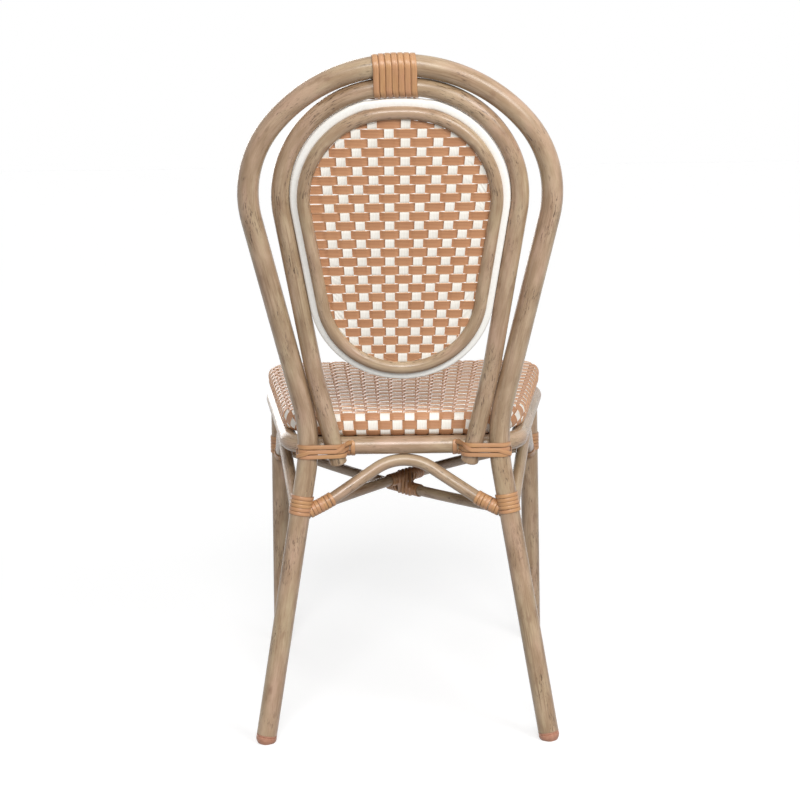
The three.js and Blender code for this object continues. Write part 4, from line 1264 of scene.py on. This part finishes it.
def lashing(mesh, leg_path, leg_radius, bow_path, facing, middle, full=0):
    """Cane round a leg and the bow that is welded to it: turns on the leg, which stop beside the
    stretchers but for a number of full ones at the top, and turns on the bow."""
    joint = reach(leg_path, 2, middle)
    leg_up = (joint - reach(leg_path, 2, middle - LASHING_PITCH)).normalized()
    facing = (facing - leg_up * facing.dot(leg_up)).normalized()
    away = leg_up.cross(facing)
    if away.dot(bow_path[-1] - bow_path[0]) > 0:
        away.negate()
    for i in range(LASHING_TURNS):
        drop = (i - (LASHING_TURNS - 1) / 2) * LASHING_PITCH
        slope = random.uniform(-LASHING_SKEW, LASHING_SKEW)
        start, end = (0, TURN) if i >= LASHING_TURNS - full else (LEG_TURN_START, LEG_TURN_END)
        arc_strip(mesh, lambda share: joint + leg_up * (drop + slope * (share - 0.5)), leg_radius,
                  away, facing, LASHING_WIDTH, start, end)
    for i in range(LASHING_BOW_TURNS):
        place, run = along_path(bow_path, LASHING_BOW_START + i * LASHING_PITCH)
        up_side = run.cross(facing).normalized()
        skew = random.uniform(-LASHING_SKEW, LASHING_SKEW)
        arc_strip(mesh, lambda share: place + run * (skew * math.sin(TURN * share)), ARCH_TUBE / 2,
                  up_side, run.cross(up_side), LASHING_WIDTH)


for side, name in SIDES:
    mesh = Mesh()
    bow_here = seen_rear_bow if side > 0 else list(reversed(seen_rear_bow))
    lashing(mesh, flip(outer_half, side), HOOP_TUBE / 2, bow_here, Y_AXIS, REAR_LASHING_MIDDLE)
    mesh.make("rear_leg_cane_" + name, BINDING, "rear_leg_binding_" + name)
    mesh = Mesh()
    leg_path = flip([front_leg_top, front_leg_end], side)
    lashing(mesh, leg_path, FRONT_LEG_TUBE / 2, flip(reversed(left_bow), side), X_AXIS * side,
            FRONT_LASHING_MIDDLE, FRONT_FULL_TURNS)
    mesh.make("front_leg_cane_" + name, BINDING, "front_leg_binding_" + name)


# Rail bindings: bands across both hoops' rear faces, and turns round the rail beside the inner hoop

RAIL_WIDTH = 6
RAIL_SPREAD = 13.6
RAIL_BEND = 1.2
RAIL_STEPS = 24
BEND_STEPS = 8
TURN_BACK_STEPS = 12
RAIL_TUCK = QUARTER * (3 + 1 / 3)
FAR_SIDE = QUARTER / 4
RAIL_MEMBER = 2
SLANT_FALL = 0.6
SLANT_SHIFT = 1
SLANT_START = 0.16
SLANT_END = 0.08
CROSSED_RISE = 0.6
CROSSED_START = 0.1
rail_reach = RAIL_TUBE / 2 + STRIP_LIFT


def rail_point(x, angle):
    normal = Vector((0, math.sin(angle), math.cos(angle)))
    return Vector((x, rail_rear_y, rail_height)) + normal * rail_reach, normal, 0


def leaning(half, height, radius):
    """A hoop as a member of a bundle that is cut level: its lean makes it broader."""
    p = reach(half, 2, height)
    q = reach(half, 2, height - FIT)
    lean = math.acos(abs((p - q).normalized().z))
    out = radius / math.cos(lean) + RAIL_WIDTH / 2 * math.tan(lean)
    return p.x, p.y - rail_rear_y, out, out


def over_hoops(low, high, rail_x, start=FAR_SIDE, end=QUARTER * 2, lift=STRIP_LIFT):
    """A strand from the outer hoop's far side over both hoops to the rail."""
    def bundle(height):
        sections = [leaning(outer_half, height, HOOP_TUBE / 2), leaning(inner_half, height, INNER_TUBE / 2),
                    (rail_x, RAIL_TUBE / 2, 0, 0)]
        return Vector((0, rail_rear_y, height)), X_AXIS, Y_AXIS, sections
    return wind(bundle, low, high, start, end, lift)


inner_x, _, inner_out, _ = leaning(inner_half, rail_height, INNER_TUBE / 2)
beside_hoop = inner_x - inner_out - RAIL_WIDTH / 2


def rail_band(x, level, height):
    """From where a band is tucked in, round the rail, through a bend and over both hoops."""
    bend = RAIL_BEND / rail_reach
    start = level + bend
    route = [rail_point(x, RAIL_TUCK + (start - RAIL_TUCK) * i / RAIL_STEPS) for i in range(RAIL_STEPS)]
    for i in range(BEND_STEPS + 1):
        angle = QUARTER * i / BEND_STEPS
        route.append(rail_point(x + RAIL_BEND * (1 - math.cos(angle)), level + bend * (1 - math.sin(angle))))
    over = [r for r in over_hoops(height, height, x + RAIL_BEND) if r[2] != RAIL_MEMBER]
    return route + list(reversed(over))


def rail_binding():
    """Two bands, one over the other, joined where they turn back round the outer hoop."""
    half = RAIL_SPREAD / 2
    tilt = math.asin(half / rail_reach)
    lower_x = beside_hoop - FIT - RAIL_BEND
    upper_x = lower_x - RAIL_WIDTH - FIT
    turn_back = []
    for i in range(1, TURN_BACK_STEPS):
        turn = math.pi * i / TURN_BACK_STEPS
        height = rail_height + half * math.cos(turn)
        hoop = leaning(outer_half, height, HOOP_TUBE / 2)
        held = (Vector((0, rail_rear_y, height)), X_AXIS, Y_AXIS, [hoop])
        turn_back.append(route_point(held, 0, FAR_SIDE - half / hoop[2] * math.sin(turn)))
    upper = rail_band(upper_x, QUARTER - tilt, rail_height + half)
    lower = rail_band(lower_x, QUARTER + tilt, rail_height - half)
    return upper + turn_back + list(reversed(lower))


straight = over_hoops(rail_height + SLANT_FALL, rail_height - SLANT_FALL, beside_hoop - SLANT_SHIFT,
                      FAR_SIDE + SLANT_START, QUARTER * 2 - SLANT_END)
crossed = over_hoops(rail_height - RAIL_SPREAD / 2, rail_height + RAIL_SPREAD * CROSSED_RISE, beside_hoop,
                     FAR_SIDE + CROSSED_START, QUARTER * 2 - SLANT_END, STRIP_LIFT + STRIP_THICK)
rail_routes = rail_binding(), straight, crossed
for side, name in SIDES:
    mesh = Mesh()
    for route in rail_routes:
        strip(mesh, [(mirror(p, side), mirror(normal, side), 0) for p, normal, _ in route], RAIL_WIDTH)
    mesh.make("rail_cane_" + name, BINDING, "rail_binding_" + name)


# Cross binding: turns round each arm of the braces, and loops round both in upright planes

CROSS_WIDTH = 4.8
CROSS_ARM_START = 11.4
CROSS_ARM_PITCH = 5.1
CROSS_ARM_TURNS = 5
CROSS_LOOPS = 4
CROSS_GAP = 0.2
CROSS_LOOP_PITCH = CROSS_WIDTH + CROSS_GAP
BESIDE_CROSSING = 1


def brace_crossing(path):
    """The middle of a brace where the two cross, and its direction there."""
    a, b = reach(path, 0, -BESIDE_CROSSING), reach(path, 0, BESIDE_CROSSING)
    return (a + b) / 2, (b - a).normalized()


def round_both(across, offset, lift):
    """A loop round both braces, in an upright plane beside their crossing."""
    sideways = Z_AXIS.cross(across)
    sections = []
    for path in (brace_over, brace_under):
        middle, run = brace_crossing(path)
        shift = offset * run.dot(across) / run.dot(sideways)
        half = BRACE_TUBE / 2 / abs(run.dot(sideways))
        sections.append((shift, middle.z - BRACE_HEIGHT, half, BRACE_TUBE / 2))
    middle = brace_crossing(brace_over)[0]
    held = (Vector((middle.x, middle.y, BRACE_HEIGHT)) + sideways * offset, across, Z_AXIS, sections)
    return wind(lambda place: held, 0, 0, 0, TURN, lift)


mesh = Mesh()
for path in (brace_over, brace_under):
    middle, run = brace_crossing(path)
    side = run.cross(Z_AXIS).normalized()
    for i in range(CROSS_ARM_TURNS):
        for way in (1, -1):
            place = middle + run * ((CROSS_ARM_START + i * CROSS_ARM_PITCH) * way)
            arc_strip(mesh, lambda share: place, BRACE_TUBE / 2, side, side.cross(run), CROSS_WIDTH)
for across, lift in ((X_AXIS, STRIP_LIFT), (Y_AXIS, STRIP_LIFT + STRIP_THICK)):
    for i in range(CROSS_LOOPS):
        offset = (i - (CROSS_LOOPS - 1) / 2) * CROSS_LOOP_PITCH
        strip(mesh, round_both(across, offset, lift), CROSS_WIDTH)
mesh.make("cross_cane_binding", BINDING, "cross_binding")


# Floor, light and camera

FLOOR_HALF = 9
FLOOR_BOUNCE = 0.34
FLOOR_GLOW = 0.62
FLOOR_SHADED = 0.5
WORLD_LIGHT = 0.24
# Name, direction, spread in degrees and strength
SUNS = (("front", (0, 1, 0.62), 26, 1.9),
        ("top", (-0.1, 0.1, 1), 36, 0.42),
        ("fill", (0.4, -1, 0.16), 40, 1.3))
KEY_PLACE = Vector((-0.95, 1.2, 1.4))
KEY_TARGET = Vector((0, 0, 0.5))
KEY_SIZE = 0.8
KEY_POWER = 13.5


def shade(n, kind, level, **inputs):
    return n.node(kind, {"Color": grey(level), **inputs}).outputs[0]


def end_in(n, output, lit, seen):
    """Ends nodes in one shader for the light on the chair, and another for what the camera sees, also
    in reflections and through glass."""
    rays = n.node("ShaderNodeLightPath", {}).outputs
    shown = rays["Is Camera Ray"]
    for name in ("Is Glossy Ray", "Is Transmission Ray"):
        shown = n.math("MAXIMUM", shown, rays[name])
    n.node(output, {"Surface": n.node("ShaderNodeMixShader", {0: shown, 1: lit, 2: seen}).outputs[0]})


def stage():
    """A plain pale floor that keeps the chair's shadow, and a white surround. What they show to the
    camera is lighter than what they send back to the chair."""
    s = FLOOR_HALF
    data = bpy.data.meshes.new("floor")
    data.from_pydata([(-s, -s, 0), (s, -s, 0), (s, s, 0), (-s, s, 0)], [], [(0, 1, 2, 3)])
    n = Nodes(bpy.data.materials.new("floor"))
    n.tree.nodes.clear()
    glow = shade(n, "ShaderNodeEmission", FLOOR_GLOW)
    shaded = shade(n, "ShaderNodeBsdfDiffuse", FLOOR_SHADED)
    bounce = shade(n, "ShaderNodeBsdfDiffuse", FLOOR_BOUNCE)
    seen = n.node("ShaderNodeAddShader", {0: glow, 1: shaded}).outputs[0]
    end_in(n, "ShaderNodeOutputMaterial", bounce, seen)
    data.materials.append(n.owner)
    floor = added("floor", data)

    n = Nodes(bpy.data.worlds.new("world"))
    bpy.context.scene.world = n.owner
    n.tree.nodes.clear()
    soft = shade(n, "ShaderNodeBackground", 1, Strength=WORLD_LIGHT)
    end_in(n, "ShaderNodeOutputWorld", soft, shade(n, "ShaderNodeBackground", 1, Strength=1))


def light(name, kind, strength, towards, place=(0, 0, 0), **settings):
    """A light that shines from a direction, or from a place."""
    data = bpy.data.lights.new(name, kind)
    data.energy = strength
    for key, value in settings.items():
        setattr(data, key, value)
    made = added(name, data)
    made.location = place
    made.rotation_euler = Vector(towards).to_track_quat("Z", "Y").to_euler()


stage()
for name, towards, spread, strength in SUNS:
    light(name, "SUN", strength, towards, angle=math.radians(spread))
light("key", "AREA", KEY_POWER, KEY_PLACE - KEY_TARGET, KEY_PLACE, shape="DISK", size=KEY_SIZE)

# Camera at the photograph's viewing angle
FOCAL_PIXELS = 2018.5
PHOTO_PIXELS = 800
SENSOR = 36
CAMERA_PLACE = Vector((-9.92, 2820.76, 1011.70)) * MM
PITCH, YAW, ROLL = 0.2006, 0.0053, -0.0141

forward = Vector((math.sin(YAW) * math.cos(PITCH), -math.cos(YAW) * math.cos(PITCH), -math.sin(PITCH)))
level_right = Vector((-math.cos(YAW), -math.sin(YAW), 0))
level_up = level_right.cross(forward)
right = level_right * math.cos(ROLL) + level_up * math.sin(ROLL)
upward = level_up * math.cos(ROLL) - level_right * math.sin(ROLL)
data = bpy.data.cameras.new("camera")
data.sensor_width = SENSOR
data.lens = FOCAL_PIXELS / PHOTO_PIXELS * SENSOR
camera = added("camera", data)
rows = Matrix((right, upward, -forward)).transposed()
camera.matrix_world = Matrix.Translation(CAMERA_PLACE) @ rows.to_4x4()
bpy.context.scene.camera = camera
bpy.context.scene.view_settings.view_transform = "Standard"
